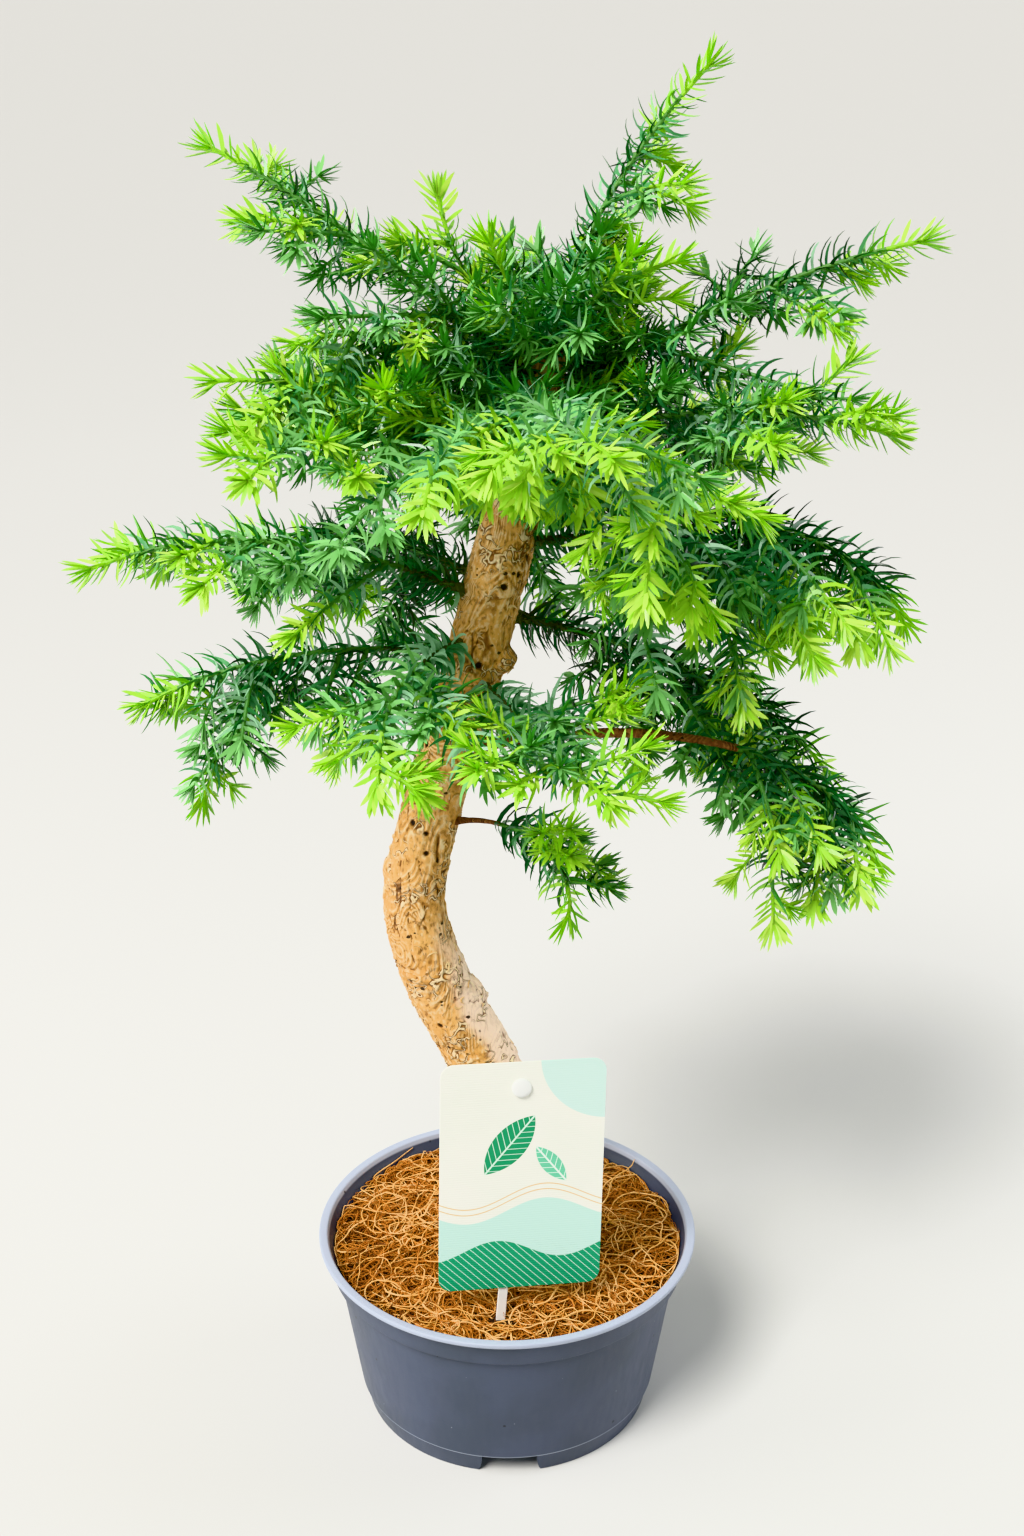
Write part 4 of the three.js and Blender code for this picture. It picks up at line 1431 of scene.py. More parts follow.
@dataclass(frozen=True)
class NeedleKind:
    """A family of needles that differ in bend alone."""

    name: str
    bends: tuple[float, ...]
    sections: tuple[float, ...]
    stout: float
    widths: tuple[float, ...]

    def shapes(self, first: int) -> list[NeedleShape]:
        """One shape for each bend and way of bending, named in the order of their numbers.

        Args:
            first: The first shape's number.

        Returns:
            The shapes.
        """
        made = []
        widths = tuple(self.stout * width for width in self.widths)
        for sweep in Sweep:
            for bend in self.bends:
                name = f"needle_{first + len(made):02d}_{self.name}"
                made.append(NeedleShape(name, bend, sweep, self.sections, widths))
        return made


OLD_NEEDLE = NeedleKind(
    "old", (36.0, 62.0, 88.0), (0.0, 0.22, 0.48, 0.72, 0.9), 0.11, (0.95, 1.0, 0.86, 0.6, 0.32)
)
YOUNG_NEEDLE = NeedleKind(
    "young", (-8.0, 7.0, 18.0), (0.0, 0.25, 0.55, 0.83), 0.158, (0.66, 0.95, 1.0, 0.62)
)
OLD_SHAPES = OLD_NEEDLE.shapes(0)
SHAPES = (*OLD_SHAPES, *YOUNG_NEEDLE.shapes(len(OLD_SHAPES)))

# Each keel colour is darker as painted shade; each face colour is paler, partly the needles' bloom and
# partly painted light.
NEEDLE_FINISHES = (
    NeedleFinish(Tint.DEEP, "103c17", "33703f"),
    NeedleFinish(Tint.PINE, "1c5a24", "559c62"),
    NeedleFinish(Tint.BLUE, "34803f", "9acca2"),
    NeedleFinish(Tint.MID, "3f8c33", "7fc06f"),
    NeedleFinish(Tint.FRESH, "55a028", "9bda55"),
    NeedleFinish(Tint.LIME, "76c21f", "b4ee50"),
    NeedleFinish(Tint.YELLOW, "93d22a", "d0f868"),
)


@dataclass(frozen=True)
class Shade:
    """The main tint of old needles up to an amount of light."""

    light: float
    tint: Tint


@dataclass(frozen=True)
class Band:
    """The two tints of a young tip out to a distance from its end."""

    reach: float
    share: float
    common: Tint
    other: Tint


SHADES = (Shade(0.22, Tint.DEEP), Shade(0.4, Tint.PINE), Shade(0.66, Tint.BLUE))
BANDS = (
    Band(31.0, 0.5, Tint.MID, Tint.PINE),
    Band(25.0, 0.6, Tint.FRESH, Tint.MID),
    Band(20.5, 0.75, Tint.LIME, Tint.FRESH),
    Band(13.0, 0.45, Tint.YELLOW, Tint.LIME),
)


@dataclass(frozen=True)
class Window:
    """The open stretch of trunk that the foliage in front leaves in sight from a little above."""

    low: float = 396.0
    high: float = 462.0
    half_width: float = 36.0
    slope: float = 0.46

    def blocks(self, points: Array, trunk: Trunk) -> Array:
        """Which points stand in front of the open stretch."""
        ahead = trunk.at(points[..., 2])[1] - points[..., 1]
        seen = points[..., 2] - self.slope * ahead
        beside = np.abs(points[..., 0] - trunk.at(seen)[0])
        return (ahead > 0.0) & (seen > self.low) & (seen < self.high) & (beside < self.half_width)


@dataclass
class Batch:
    """Needles along one stem, before they are stood on it."""

    kind: NeedleKind
    distance: Array
    radius: Array
    turn: Array
    bend: Array
    spread: Array
    length: Array
    stout: Array
    tint: Array


@dataclass
class Crown:
    """The boughs, shoots, twigs and needles."""

    trunk: Trunk
    limb: LimbRule = field(default_factory=LimbRule)
    shoot: ShootRule = field(default_factory=ShootRule)
    window: Window = Window()
    draw: Draw = seeded(23)

    limb_start: float = 0.55
    limb_past: float = 3.0
    limb_step: float = 1.5
    limb_sides: int = 20
    limb_depth: float = 0.34
    stem_step: float = 5.0
    stem_sides: int = 7
    stem_shortest: float = 1.0
    stem_tip_radius: float = 0.95
    shoot_radii: Pair = (1.35, 0.75)
    twig_radii: Pair = (0.95, 0.55)
    inner_from: float = 10.0
    needle_from: float = 2.0
    trunk_margin: float = 3.0
    reach_samples: int = 25
    reach_skipped: int = 3

    heart_shoots: int = 30
    heart_low: float = 474.0
    heart_under_top: float = 2.0
    heart_size: float = 60.0
    heart_sizes: Pair = (0.75, 1.1)
    heart_rise: Pair = (25.0, 60.0)
    heart_steeper: Pair = (0.55, 0.75)
    heart_droop: Pair = (-25.0, 10.0)
    heart_swing: Pair = (-20.0, 20.0)
    heart_seed: float = 400.0

    old_pitch: float = 1.2
    stem_pitch: float = 0.8
    inner_pitch: float = 0.42
    old_length: float = 13.2
    low_length: float = 16.0
    old_lengths: Pair = (0.76, 1.22)
    old_width: float = 1.5
    low_width: float = 1.95
    old_widths: Pair = (0.85, 1.15)
    long_from: float = 560.0
    long_below: float = 430.0
    old_spread: float = 62.0
    old_wobble: float = 8.0
    spread_per_bend: float = 0.4
    old_flatten: float = 0.3
    twig_needles: float = 0.85

    young_pitch: float = 0.95
    young_reach: float = 16.0
    young_length: float = 12.8
    young_shrink: float = 0.28
    young_lengths: Pair = (0.85, 1.12)
    young_widths: Pair = (0.9, 1.15)
    young_spread: float = 64.0
    young_wobble: float = 6.0
    young_flatten: float = 0.5
    tip_spread: float = 34.0
    tip_needles: int = 12
    young_least: float = 0.05
    young_gain: float = 0.8
    young_out: Pair = (0.5, 0.4)
    young_twigs: float = 0.55
    young_hearts: float = 0.2
    fringe_depth: float = 55.0
    fringe_share: float = 0.92

    face_forward: float = 0.45
    face_up: float = 1.0
    turn_wobble: float = 0.15
    root_sunk: float = 0.6
    needle_checked: float = 0.8
    needle_margin: float = 0.5
    light_from: Pair = (-0.55, -0.83)
    light_reach: float = 150.0
    light_heights: Pair = (330.0, 300.0)
    light_shares: tuple[float, float, float, float] = (0.06, 0.42, 0.6, 0.1)
    light_spread: float = 0.4
    deep_under: float = 0.12
    pine_over: float = 0.76
    blue_over: float = 0.9
    old_tip: float = 7.0
    band_wobble: float = 2.0

    # In both limb barks the pale colour on raised relief is a painted highlight, and the hollows' and pits'
    # colours are painted shade.
    bare_finish: BarkFinish = BarkFinish(
        "bare_bark", "7a4c2a", "6a4022", "a8784c", "3a2110", "20130a", "7a4c2a"
    )
    limb_finish: BarkFinish = BarkFinish(
        "bough_bark", "47522a", "3f4a24", "74824a", "26300f", "161c08", "47522a"
    )
    stem_finish: SkinFinish = SkinFinish("stem_skin", "4f8a3a", "5f9444", 60.0, 0.5)
    shoot_finish: SkinFinish = SkinFinish("shoot_skin", "4f8f40", "5d9a48", 60.0, 0.5)
    tip_finish: SkinFinish = SkinFinish("tip_skin", "86c22f", "95cc38", 60.0, 0.5)
    stems: list[Stem] = field(default_factory=list)
    needles: list[dict[str, Array]] = field(default_factory=list)

    def build(self) -> None:
        """Grows the crown and makes its pieces."""
        limbs = [(bough, self.limb.path(bough, self.trunk)) for bough in BOUGHS]
        for bough, path in limbs:
            self._grow_bough(bough, path)
        self._grow_heart()
        bare = [limb for limb in limbs if limb[0].name in BARE_LIMBS]
        clad = [limb for limb in limbs if limb[0].name not in BARE_LIMBS]
        self._limb_piece(self.bare_finish, bare)
        self._limb_piece(self.limb_finish, clad)
        self._stem_pieces()
        for stem in self.stems:
            self._clothe(stem)
        for bough, path in clad:
            self._clothe_limb(bough, path)
        self._needle_pieces()

    def _grow_bough(self, bough: Bough, path: Path) -> None:
        """Grows one bough's stem, shoots and twigs.

        Args:
            bough: The bough.
            path: Its axis.
        """
        end_radius = float(self.limb.radius(bough, self.trunk, np.array(bough.bare)))
        radii = (end_radius, self.stem_tip_radius)
        self.stems.append(Stem(path, bough.bare, bough.length, radii, Order.STEM, bough.seed, True))
        shoots = self.shoot.shoots(bough, path) + self.shoot.hung(bough, path)
        if bough.height > self.heart_low:
            shoots += self.shoot.inner(bough, path, self.trunk.radius(bough.height) + self.inner_from)
        for shoot, seed in shoots:
            reach = self._clear_reach(shoot)
            if reach < self.shoot.twig_first:
                continue
            young = self.draw.random() < self._young_share(shoot, path) or seed in HUNG_SEEDS
            self._sprout(shoot, 0.0, reach, Order.SHOOT, seed, young)
            for twig, twig_seed in self.shoot.twigs(shoot, bough.hang, seed):
                far = self._clear_reach(twig)
                if far >= self.shoot.twig_shortest:
                    new = self.draw.random() < self.young_twigs * self._young_share(twig, path)
                    self._sprout(twig, 0.0, far, Order.TWIG, twig_seed, new)

    def _sprout(self, path: Path, start: float, end: float, order: Order, seed: float, young: bool) -> None:
        """Adds a shoot or a twig, with the radii of its order."""
        radii = self.twig_radii if order is Order.TWIG else self.shoot_radii
        self.stems.append(Stem(path, start, end, radii, order, seed, young))

    def _grow_heart(self) -> None:
        """Grows shoots straight from the trunk's top, which close the crown over it."""
        span = self.trunk.top - self.heart_low - self.heart_under_top
        for k in range(self.heart_shoots):
            height = self.heart_low + span * ((k + 0.5) / self.heart_shoots)
            steeper = self.heart_steeper[0] + self.heart_steeper[1] * k / self.heart_shoots
            rise = self.draw.uniform(*self.heart_rise) * steeper
            size = self.heart_size * self.draw.uniform(*self.heart_sizes)
            azimuth = math.degrees(GOLDEN_TURN * k) % 360.0
            droop, swing = self.draw.uniform(*self.heart_droop), self.draw.uniform(*self.heart_swing)
            seed = self.heart_seed + k
            bough = Bough("heart", height, azimuth, rise, droop, swing, size, size, 0.0, 1.0, seed)
            path = self.limb.path(bough, self.trunk)
            young = self.draw.random() < self.young_hearts
            self._sprout(path, self.trunk.radius(height), size, Order.SHOOT, seed, young)
            for twig, twig_seed in self.shoot.twigs(path, 0.0, seed):
                far = self._clear_reach(twig)
                if far > self.shoot.twig_shortest:
                    self._sprout(twig, 0.0, far, Order.TWIG, twig_seed, False)

    def _young_share(self, path: Path, limb: Path) -> float:
        """How likely a shoot ends in new growth: more towards its bough's end and at the crown's front.

        Args:
            path: The shoot's path.
            limb: Its bough's path.

        Returns:
            The chance, from 0 to 1.
        """
        tip, end = path.points[-1], limb.points[-1]
        out = np.linalg.norm(self._from_trunk(tip)) / np.linalg.norm(self._from_trunk(end))
        start, span = self.young_out
        share = self.young_least + self.young_gain * float(smooth_step(np.asarray((out - start) / span)))
        return max(share, self.fringe_share) if tip[1] < -self.fringe_depth else share

    def _from_trunk(self, point: Array) -> Array:
        """A point's place in plan, from the trunk's middle at its height."""
        return point[:2] - self.trunk.middle(point[2])

    def _light(self, point: Array) -> float:
        """How much light reaches a place: more at the outside, the top and the front left.

        Args:
            point: The place.

        Returns:
            The light, mostly between 0 and 1.
        """
        flat = self._from_trunk(point) / self.light_reach
        outside = min(float(np.linalg.norm(flat)), 1.0)
        toward = float(np.clip(flat @ np.array(self.light_from), -1.0, 1.0))
        low, span = self.light_heights
        high = float(np.clip((point[2] - low) / span, 0.0, 1.0))
        base, by_height, by_front, by_outside = self.light_shares
        return base + by_height * high + by_front * toward + by_outside * outside

    def _clear_reach(self, path: Path) -> float:
        """How far a shoot grows before it runs into the trunk or hides its open stretch.

        Args:
            path: The shoot's path.

        Returns:
            The length that stays clear.
        """
        distance = np.linspace(0.0, path.length, self.reach_samples)
        points = path.at(distance)[0]
        clear = (self.trunk.clearance(points) > self.trunk_margin) & ~self.window.blocks(points, self.trunk)
        blocked = np.flatnonzero(~clear[self.reach_skipped:])
        return float(distance[blocked[0] + self.reach_skipped - 1]) if len(blocked) else path.length

    def _limb_piece(self, finish: BarkFinish, limbs: list[tuple[Bough, Path]]) -> None:
        """Makes limbs from inside the trunk to their foliage, as one piece.

        Args:
            finish: Their bark, which also names the piece.
            limbs: The boughs and their axes.
        """
        lines = []
        for bough, path in limbs:
            start = self.trunk.radius(bough.height) * self.limb_start
            distance = np.arange(start, bough.bare + self.limb_past, self.limb_step)
            radius = self.limb.radius(bough, self.trunk, np.minimum(distance, bough.bare))
            lines.append((path.at(distance)[0], radius))
        skin = finish.make()
        smooth = tube_growth().grow(
            "limbs_smooth", line_mesh("limbs_smooth", lines), Sides=self.limb_sides, Material=skin
        )
        mesh = smooth.data
        bpy.data.objects.remove(smooth)
        piece = relief_growth().grow(
            finish.name, mesh, Depth=self.limb_depth * MM, Fineness=1.7, Ridges=0.6, Pits=0.5, Material=skin
        )
        settle(piece, ["bough_" + bough.name for bough, _ in limbs])

    def _stem_pieces(self) -> None:
        """Makes the stems, the older shoots and the new tips, as three pieces."""
        finishes = {
            "stem_wood": self.stem_finish, "shoot_wood": self.shoot_finish, "tip_wood": self.tip_finish,
        }
        lines: dict[str, list[tuple[Array, Array]]] = {name: [] for name in finishes}
        for stem in self.stems:
            new_from = stem.new_from(self.young_reach)
            older = "stem_wood" if stem.order is Order.STEM else "shoot_wood"
            for name, start, end in ((older, stem.start, new_from), ("tip_wood", new_from, stem.end)):
                if end - start > self.stem_shortest:
                    distance = np.linspace(start, end, max(3, int((end - start) / self.stem_step)))
                    lines[name].append((stem.path.at(distance)[0], stem.radius(distance)))
        for name, finish in finishes.items():
            mesh = line_mesh(name, lines[name])
            piece = tube_growth().grow(name, mesh, Sides=self.stem_sides, Material=finish.make())
            settle(piece, FOLIAGE_NODES)

    def _clothe(self, stem: Stem) -> None:
        """Deals out one stem's needles, the old ones and those of its new growth.

        Args:
            stem: The stem to clothe.
        """
        new_from = stem.new_from(self.young_reach)
        small = self.twig_needles if stem.order is Order.TWIG else 1.0
        pitch = self.stem_pitch if stem.order is Order.STEM else self.old_pitch
        old = self._even(stem.start, new_from, pitch)
        tint = self._tints(stem, stem.end - old)
        self._clothe_old(stem.path, old, stem.radius(old), small, tint)
        along = self._even(new_from, stem.end, self.young_pitch)
        new = np.concatenate((along, np.full(self.tip_needles, stem.end)))
        count = len(new)
        to_tip = stem.end - new
        share = np.clip(to_tip / self.young_reach, 0.0, 1.0)
        spread = self.tip_spread + (self.young_spread - self.tip_spread) * np.sqrt(share)
        length = self.young_length * (1.0 - self.young_shrink * share**2)
        self._stand(stem.path, Batch(
            kind=YOUNG_NEEDLE, distance=new, radius=stem.radius(new),
            turn=self._around(count, self.young_flatten),
            bend=self.draw.integers(0, len(YOUNG_NEEDLE.bends), count),
            spread=spread + self.draw.normal(0.0, self.young_wobble, count),
            length=length * self.draw.uniform(*self.young_lengths, count) * small,
            stout=self.draw.uniform(*self.young_widths, count), tint=self._tints(stem, to_tip),
        ))

    def _clothe_old(
        self, path: Path, distance: Array, radius: Array, small: float, tint: Array,
    ) -> None:
        """Deals out old needles, which leave the stem square to it and hook forward.

        Args:
            path: The stem's path.
            distance: Where each needle stands.
            radius: The stem's radius there.
            small: How much shorter the needles are on this stem.
            tint: Each needle's tint.
        """
        count = len(distance)
        bend = self.draw.integers(0, len(OLD_NEEDLE.bends), count)
        spread = self.old_spread + self.spread_per_bend * np.array(OLD_NEEDLE.bends)[bend]
        low = (self.long_from - path.at(distance)[0][:, 2]) / (self.long_from - self.long_below)
        low = np.clip(low, 0.0, 1.0)
        length = self.old_length + (self.low_length - self.old_length) * low
        width = self.old_width + (self.low_width - self.old_width) * low
        length = length * self.draw.uniform(*self.old_lengths, count) * small
        width = width * self.draw.uniform(*self.old_widths, count)
        self._stand(path, Batch(
            kind=OLD_NEEDLE, distance=distance, radius=radius,
            turn=self._around(count, self.old_flatten),
            bend=bend, spread=spread + self.draw.normal(0.0, self.old_wobble, count),
            length=length, stout=width / (length * OLD_NEEDLE.stout), tint=tint,
        ))

    def _clothe_limb(self, bough: Bough, path: Path) -> None:
        """Deals out the old needles on a bough's inner stretch."""
        start = self.trunk.radius(bough.height) + self.needle_from
        distance = self._even(start, bough.bare, self.inner_pitch)
        tint = self._dark(path.points[len(path.points) // 3], bough.seed, len(distance))
        self._clothe_old(path, distance, self.limb.radius(bough, self.trunk, distance), 1.0, tint)

    def _even(self, start: float, end: float, pitch: float) -> Array:
        """Evenly spaced distances with a little chance."""
        count = max(0, int(round((end - start) / pitch)))
        return start + (np.arange(count) + self.draw.random(count)) * (end - start) / max(count, 1)

    def _around(self, count: int, flatten: float) -> Array:
        """Angles about a stem by the golden turn, gathered towards its two sides."""
        turn = np.arange(count) * GOLDEN_TURN + self.draw.uniform(0.0, FULL_TURN)
        return turn - flatten / 2.0 * np.sin(2.0 * turn) + self.draw.normal(0.0, self.turn_wobble, count)

    def _dark(self, tip: Array, seed: float, count: int) -> Array:
        """The old needles' tints: mostly one tint to a stem, by the light there, with others among them.

        Args:
            tip: The place whose light counts.
            seed: The stem's seed.
            count: How many needles there are.

        Returns:
            Each tint's place in the list of tints.
        """
        light = self._light(tip) + self.light_spread * (chance(seed, Luck.SHADE) - 0.5)
        main = next((shade.tint for shade in SHADES if light < shade.light), Tint.MID)
        roll = self.draw.random(count)
        mixed = np.where(roll < self.deep_under, Tint.DEEP.place, main.place)
        mixed = np.where(roll > self.pine_over, Tint.PINE.place, mixed)
        return np.where(roll > self.blue_over, Tint.BLUE.place, mixed)

    def _tints(self, stem: Stem, to_tip: Array) -> Array:
        """Each needle's colour by its place on the spray.

        Args:
            stem: The stem that carries the needles.
            to_tip: Each needle's distance from the stem's tip.

        Returns:
            Each tint's place in the list of tints.
        """
        tint = self._dark(stem.path.points[-1], stem.seed, len(to_tip))
        roll = self.draw.random(len(to_tip))
        far = to_tip + self.draw.normal(0.0, self.band_wobble, len(to_tip))
        if not stem.young:
            return np.where(far < self.old_tip, Tint.MID.place, tint)
        for band in BANDS:
            pick = np.where(roll < band.share, band.common.place, band.other.place)
            tint = np.where(far < band.reach, pick, tint)
        return tint

    def _stand(self, path: Path, batch: Batch) -> None:
        """Works out where needles stand and keeps those that clear the trunk.

        Args:
            path: The stem's path.
            batch: The needles to stand on it.
        """
        point, direction = path.at(batch.distance)
        side, top = sideways(direction)
        out = side * np.cos(batch.turn)[:, None] + top * np.sin(batch.turn)[:, None]
        lean = np.radians(batch.spread)[:, None]
        along = direction * np.cos(lean) + out * np.sin(lean)
        wanted = direction * self.face_forward + top * self.face_up
        face = unit(wanted - along * np.sum(wanted * along, axis=1, keepdims=True))
        to_left = np.sum(np.cross(face, along) * direction, axis=1)
        to_face = np.sum(face * direction, axis=1)
        edge = np.where(to_left > 0.0, Sweep.LEFT.value, Sweep.RIGHT.value)
        sweep = np.where(np.abs(to_left) > to_face, edge, Sweep.FACE.value)
        first = 0 if batch.kind is OLD_NEEDLE else len(OLD_SHAPES)
        root = point + out * (batch.radius * self.root_sunk)[:, None]
        checked = root + along * batch.length[:, None] * self.needle_checked
        clear = self.trunk.clearance(checked) > self.needle_margin
        size = np.stack((batch.length, batch.length * batch.stout, batch.length), axis=-1) * MM
        shape = first + sweep * len(batch.kind.bends) + batch.bend
        self.needles.append({
            "root": root[clear], "along": along[clear], "face": face[clear], "size": size[clear],
            "shape": shape[clear], "tint": batch.tint[clear],
        })

    def _needle_pieces(self) -> None:
        """Makes the needles, joined by tint into pieces of moderate size."""
        shapes = bpy.data.collections.new("needle_shapes")
        for shape in SHAPES:
            shapes.objects.link(bpy.data.objects.new(shape.name, shape.mesh()))
        whole = {key: np.concatenate([part[key] for part in self.needles]) for key in self.needles[0]}
        cost = np.array([shape.triangles for shape in SHAPES])[whole["shape"]]
        for finish in NEEDLE_FINISHES:
            keel, face = finish.make()
            chosen = np.flatnonzero(whole["tint"] == finish.tint.place)
            parts = int(math.ceil(cost[chosen].sum() / MOST_TRIANGLES))
            for part in range(parts):
                name = f"needles_{finish.tint.value}_{part + 1}"
                some = chosen[part::parts]
                points = mesh_from(name, whole["root"][some], [])
                for key in ("along", "face", "size"):
                    store(points, key, "FLOAT_VECTOR", whole[key][some])
                store(points, "shape", "INT", whole["shape"][some])
                piece = needle_growth().grow(name, points, Shapes=shapes, Face=face, Material=keel)
                settle(piece, FOLIAGE_NODES)
        for shape in list(shapes.objects):
            bpy.data.objects.remove(shape)
        bpy.data.collections.remove(shapes)
        LOG.info("%d needles, %d triangles", len(cost), int(cost.sum()))


@dataclass
class Pot:
    """The nursery pot: a thin conical wall with a lip, a band and a foot skirt."""

    segments: int = 240
    wall: float = 2.0
    height: float = 95.3
    lip_radius: float = 95.0
    lip_width: float = 4.2
    lip_depth: float = 2.4
    lip_slope: float = 1.5
    band_top_radius: float = 91.5
    band_foot_radius: float = 89.2
    band_foot: float = 79.3
    step_width: float = 3.2
    step_height: float = 1.0
    skirt_top: float = 11.5
    skirt_top_radius: float = 75.6
    skirt_inset: float = 0.8
    skirt_step: float = 0.6
    foot_radius: float = 72.2
    floor_under: float = 11.0
    floor_top: float = 13.0
    notches: int = 3
    notch_azimuth: float = -89.0
    notch_width: float = 27.0
    notch_height: float = 10.8
    notch_flare: float = 2.6
    notch_drop: float = 1.02
    notch_sweep: float = 1.57
    notch_points: int = 9
    notch_reach: float = 10.0
    drains: int = 6
    drain_radius: float = 4.5
    drain_circle: float = 56.0
    drain_depth: float = 12.0
    drain_sides: int = 32
    sharp: float = 32.0
    finish: PotFinish = PotFinish()

    @property
    def band_top(self) -> float:
        """The height where the lip's slope leaves the band."""
        return self.height - self.lip_depth - self.lip_slope

    @property
    def body_top(self) -> float:
        """The height where the body ends under the band's step."""
        return self.band_foot - self.step_height

    @property
    def body_radius(self) -> float:
        """The body's radius under the band's step."""
        return self.band_foot_radius - self.step_width

    def inner_radius(self, height: float) -> float:
        """The inside radius of the wall at a height above the band's foot."""
        share = (height - self.body_top) / (self.band_top - self.body_top)
        return self.body_radius + (self.band_top_radius - self.body_radius) * share - self.wall

    def profile(self) -> list[tuple[float, float, float]]:
        """The turned section as radius, height and how round each corner is."""
        return [
            (self.foot_radius - self.wall, self.floor_under, 0.8),
            (self.foot_radius - self.wall, 0.0, 0.4),
            (self.foot_radius, 0.0, 0.5),
            (self.skirt_top_radius - self.skirt_inset, self.skirt_top - self.skirt_step, 0.25),
            (self.skirt_top_radius, self.skirt_top, 0.25),
            (self.body_radius, self.body_top, 0.3),
            (self.band_foot_radius, self.band_foot, 0.5),
            (self.band_top_radius, self.band_top, 0.8),
            (self.lip_radius, self.height - self.lip_depth, 0.8),
            (self.lip_radius, self.height, 0.9),
            (self.lip_radius - self.lip_width, self.height, 0.8),
            (self.band_top_radius - self.wall, self.band_top, 0.8),
            (self.body_radius - self.wall, self.body_top, 0.6),
            (self.skirt_top_radius - self.wall, self.floor_top, 1.0),
        ]

    def build(self) -> None:
        """Turns the section, cuts the notches and drain holes, and dresses the pot."""
        section = [(0.0, self.floor_under), *rounded(self.profile()), (0.0, self.floor_top)]
        piece = new_object("pot_shell", turned("pot_shell", section, self.segments))
        meshes = [self._notch(i) for i in range(self.notches)] + [self._drain(i) for i in range(self.drains)]
        cutters = [new_object(mesh.name, mesh) for mesh in meshes]
        for cutter in cutters:
            cut = piece.modifiers.new(cutter.name, "BOOLEAN")
            cut.operation = "DIFFERENCE"
            cut.solver = "EXACT"
            cut.object = cutter
        settle_modifiers(piece)
        for cutter in cutters:
            bpy.data.objects.remove(cutter)
        piece.data.materials.clear()
        piece.data.materials.append(self.finish.make())
        piece.data.set_sharp_from_angle(angle=math.radians(self.sharp))
        settle(piece, ["pot"])

    def _notch(self, index: int) -> Mesh:
        """The cutter of one drain notch in the foot skirt.

        Args:
            index: Which notch it is.

        Returns:
            The cutter's mesh, in metres.
        """
        half, top = self.notch_width / 2, self.notch_height
        edge = [
            (half + self.notch_flare * (1.0 - math.cos(a)), top - top * self.notch_drop * math.sin(a))
            for a in np.linspace(0.0, self.notch_sweep, self.notch_points)
        ]
        section = edge[::-1] + [(-y, z) for y, z in edge]
        points = np.array([(x, y, z) for x in (-self.notch_reach, self.notch_reach) for y, z in section])
        mesh = mesh_from(f"notch_{index}", points, ring_faces(2, len(section), True))
        turn = math.radians(self.notch_azimuth + 360.0 / self.notches * index)
        mesh.transform(Matrix.Rotation(turn, 4, "Z") @ Matrix.Translation((self.foot_radius * MM, 0.0, 0.0)))
        return mesh

    def _drain(self, index: int) -> Mesh:
        """The cutter of one drain hole in the floor.

        Args:
            index: Which hole it is.

        Returns:
            The cutter's mesh, in metres.
        """
        turn = Matrix.Rotation(FULL_TURN * index / self.drains, 4, "Z")
        place = turn @ Matrix.Translation((self.drain_circle * MM, 0.0, self.floor_top * MM))
        made = bmesh.new()
        radius = self.drain_radius * MM
        bmesh.ops.create_cone(
            made, cap_ends=True, segments=self.drain_sides, radius1=radius, radius2=radius,
            depth=self.drain_depth * MM, matrix=place,
        )
        return kept_mesh(f"drain_{index}", made)


def kept_mesh(name: str, made: bmesh.types.BMesh) -> Mesh:
    """Keeps an edited mesh under a name, and frees the editor's copy."""
    mesh = bpy.data.meshes.new(name)
    made.to_mesh(mesh)
    made.free()
    return mesh


def rounded(
    corners: Sequence[tuple[float, float, float]], steps: int = 4, most: float = 0.45,
) -> list[Pair]:
    """Rounds the inner corners of an open section.

    Args:
        corners: Radius, height and fillet reach of each corner.
        steps: Points along each fillet.
        most: The largest share of an edge that a fillet takes.

    Returns:
        The section's points, with its first and last corner kept.
    """
    points = [np.array(c[:2]) for c in corners]
    made = [tuple(points[0])]
    for before, here, after, (_, _, reach) in zip(points, points[1:], points[2:], corners[1:]):
        back, ahead = before - here, after - here
        cut = min(reach, most * np.linalg.norm(back), most * np.linalg.norm(ahead))
        start, end = here + unit(back) * cut, here + unit(ahead) * cut
        for i in range(steps + 1):
            t = i / steps
            made.append(tuple(start * (1 - t) ** 2 + here * 2 * t * (1 - t) + end * t * t))
    made.append(tuple(points[-1]))
    return made


def turned(name: str, section: Sequence[Pair], segments: int) -> Mesh:
    """Turns a section into a closed mesh, with no seam at azimuth 0.

    Args:
        name: The mesh's name.
        section: Radius and height of each point; the first and the last lie on the axis.
        segments: How many segments the mesh has around the axis.

    Returns:
        The mesh, in metres.
    """
    turn = (np.arange(segments) + 0.5) / segments * FULL_TURN
    rings = np.array([(r * np.cos(turn), r * np.sin(turn), np.full(segments, z)) for r, z in section[1:-1]])
    points = rings.transpose(0, 2, 1).reshape(-1, 3)
    count = len(section) - 2
    faces = ring_faces(count, segments, False)
    low, high = len(points), len(points) + 1
    last = (count - 1) * segments
    for j in range(segments):
        k = (j + 1) % segments
        faces.append([low, k, j])
        faces.append([high, last + j, last + k])
    ends = [(0.0, 0.0, section[0][1]), (0.0, 0.0, section[-1][1])]
    return mesh_from(name, np.vstack((points, ends)), faces)


@dataclass(frozen=True)
class FibreLayer:
    """One layer of fibres: its colours, how many there are, and how it lies on the fill."""

    name: str
    base: str
    patch: str
    count: int
    lift: Pair
    thick: Pair = (0.26, 0.5)
    lengths: Pair = (24.0, 74.0)

    def finish(self) -> SkinFinish:
        """The fibres' dry skin."""
        return SkinFinish(self.name, self.base, self.patch, 90.0, 0.8, depth=0.0)


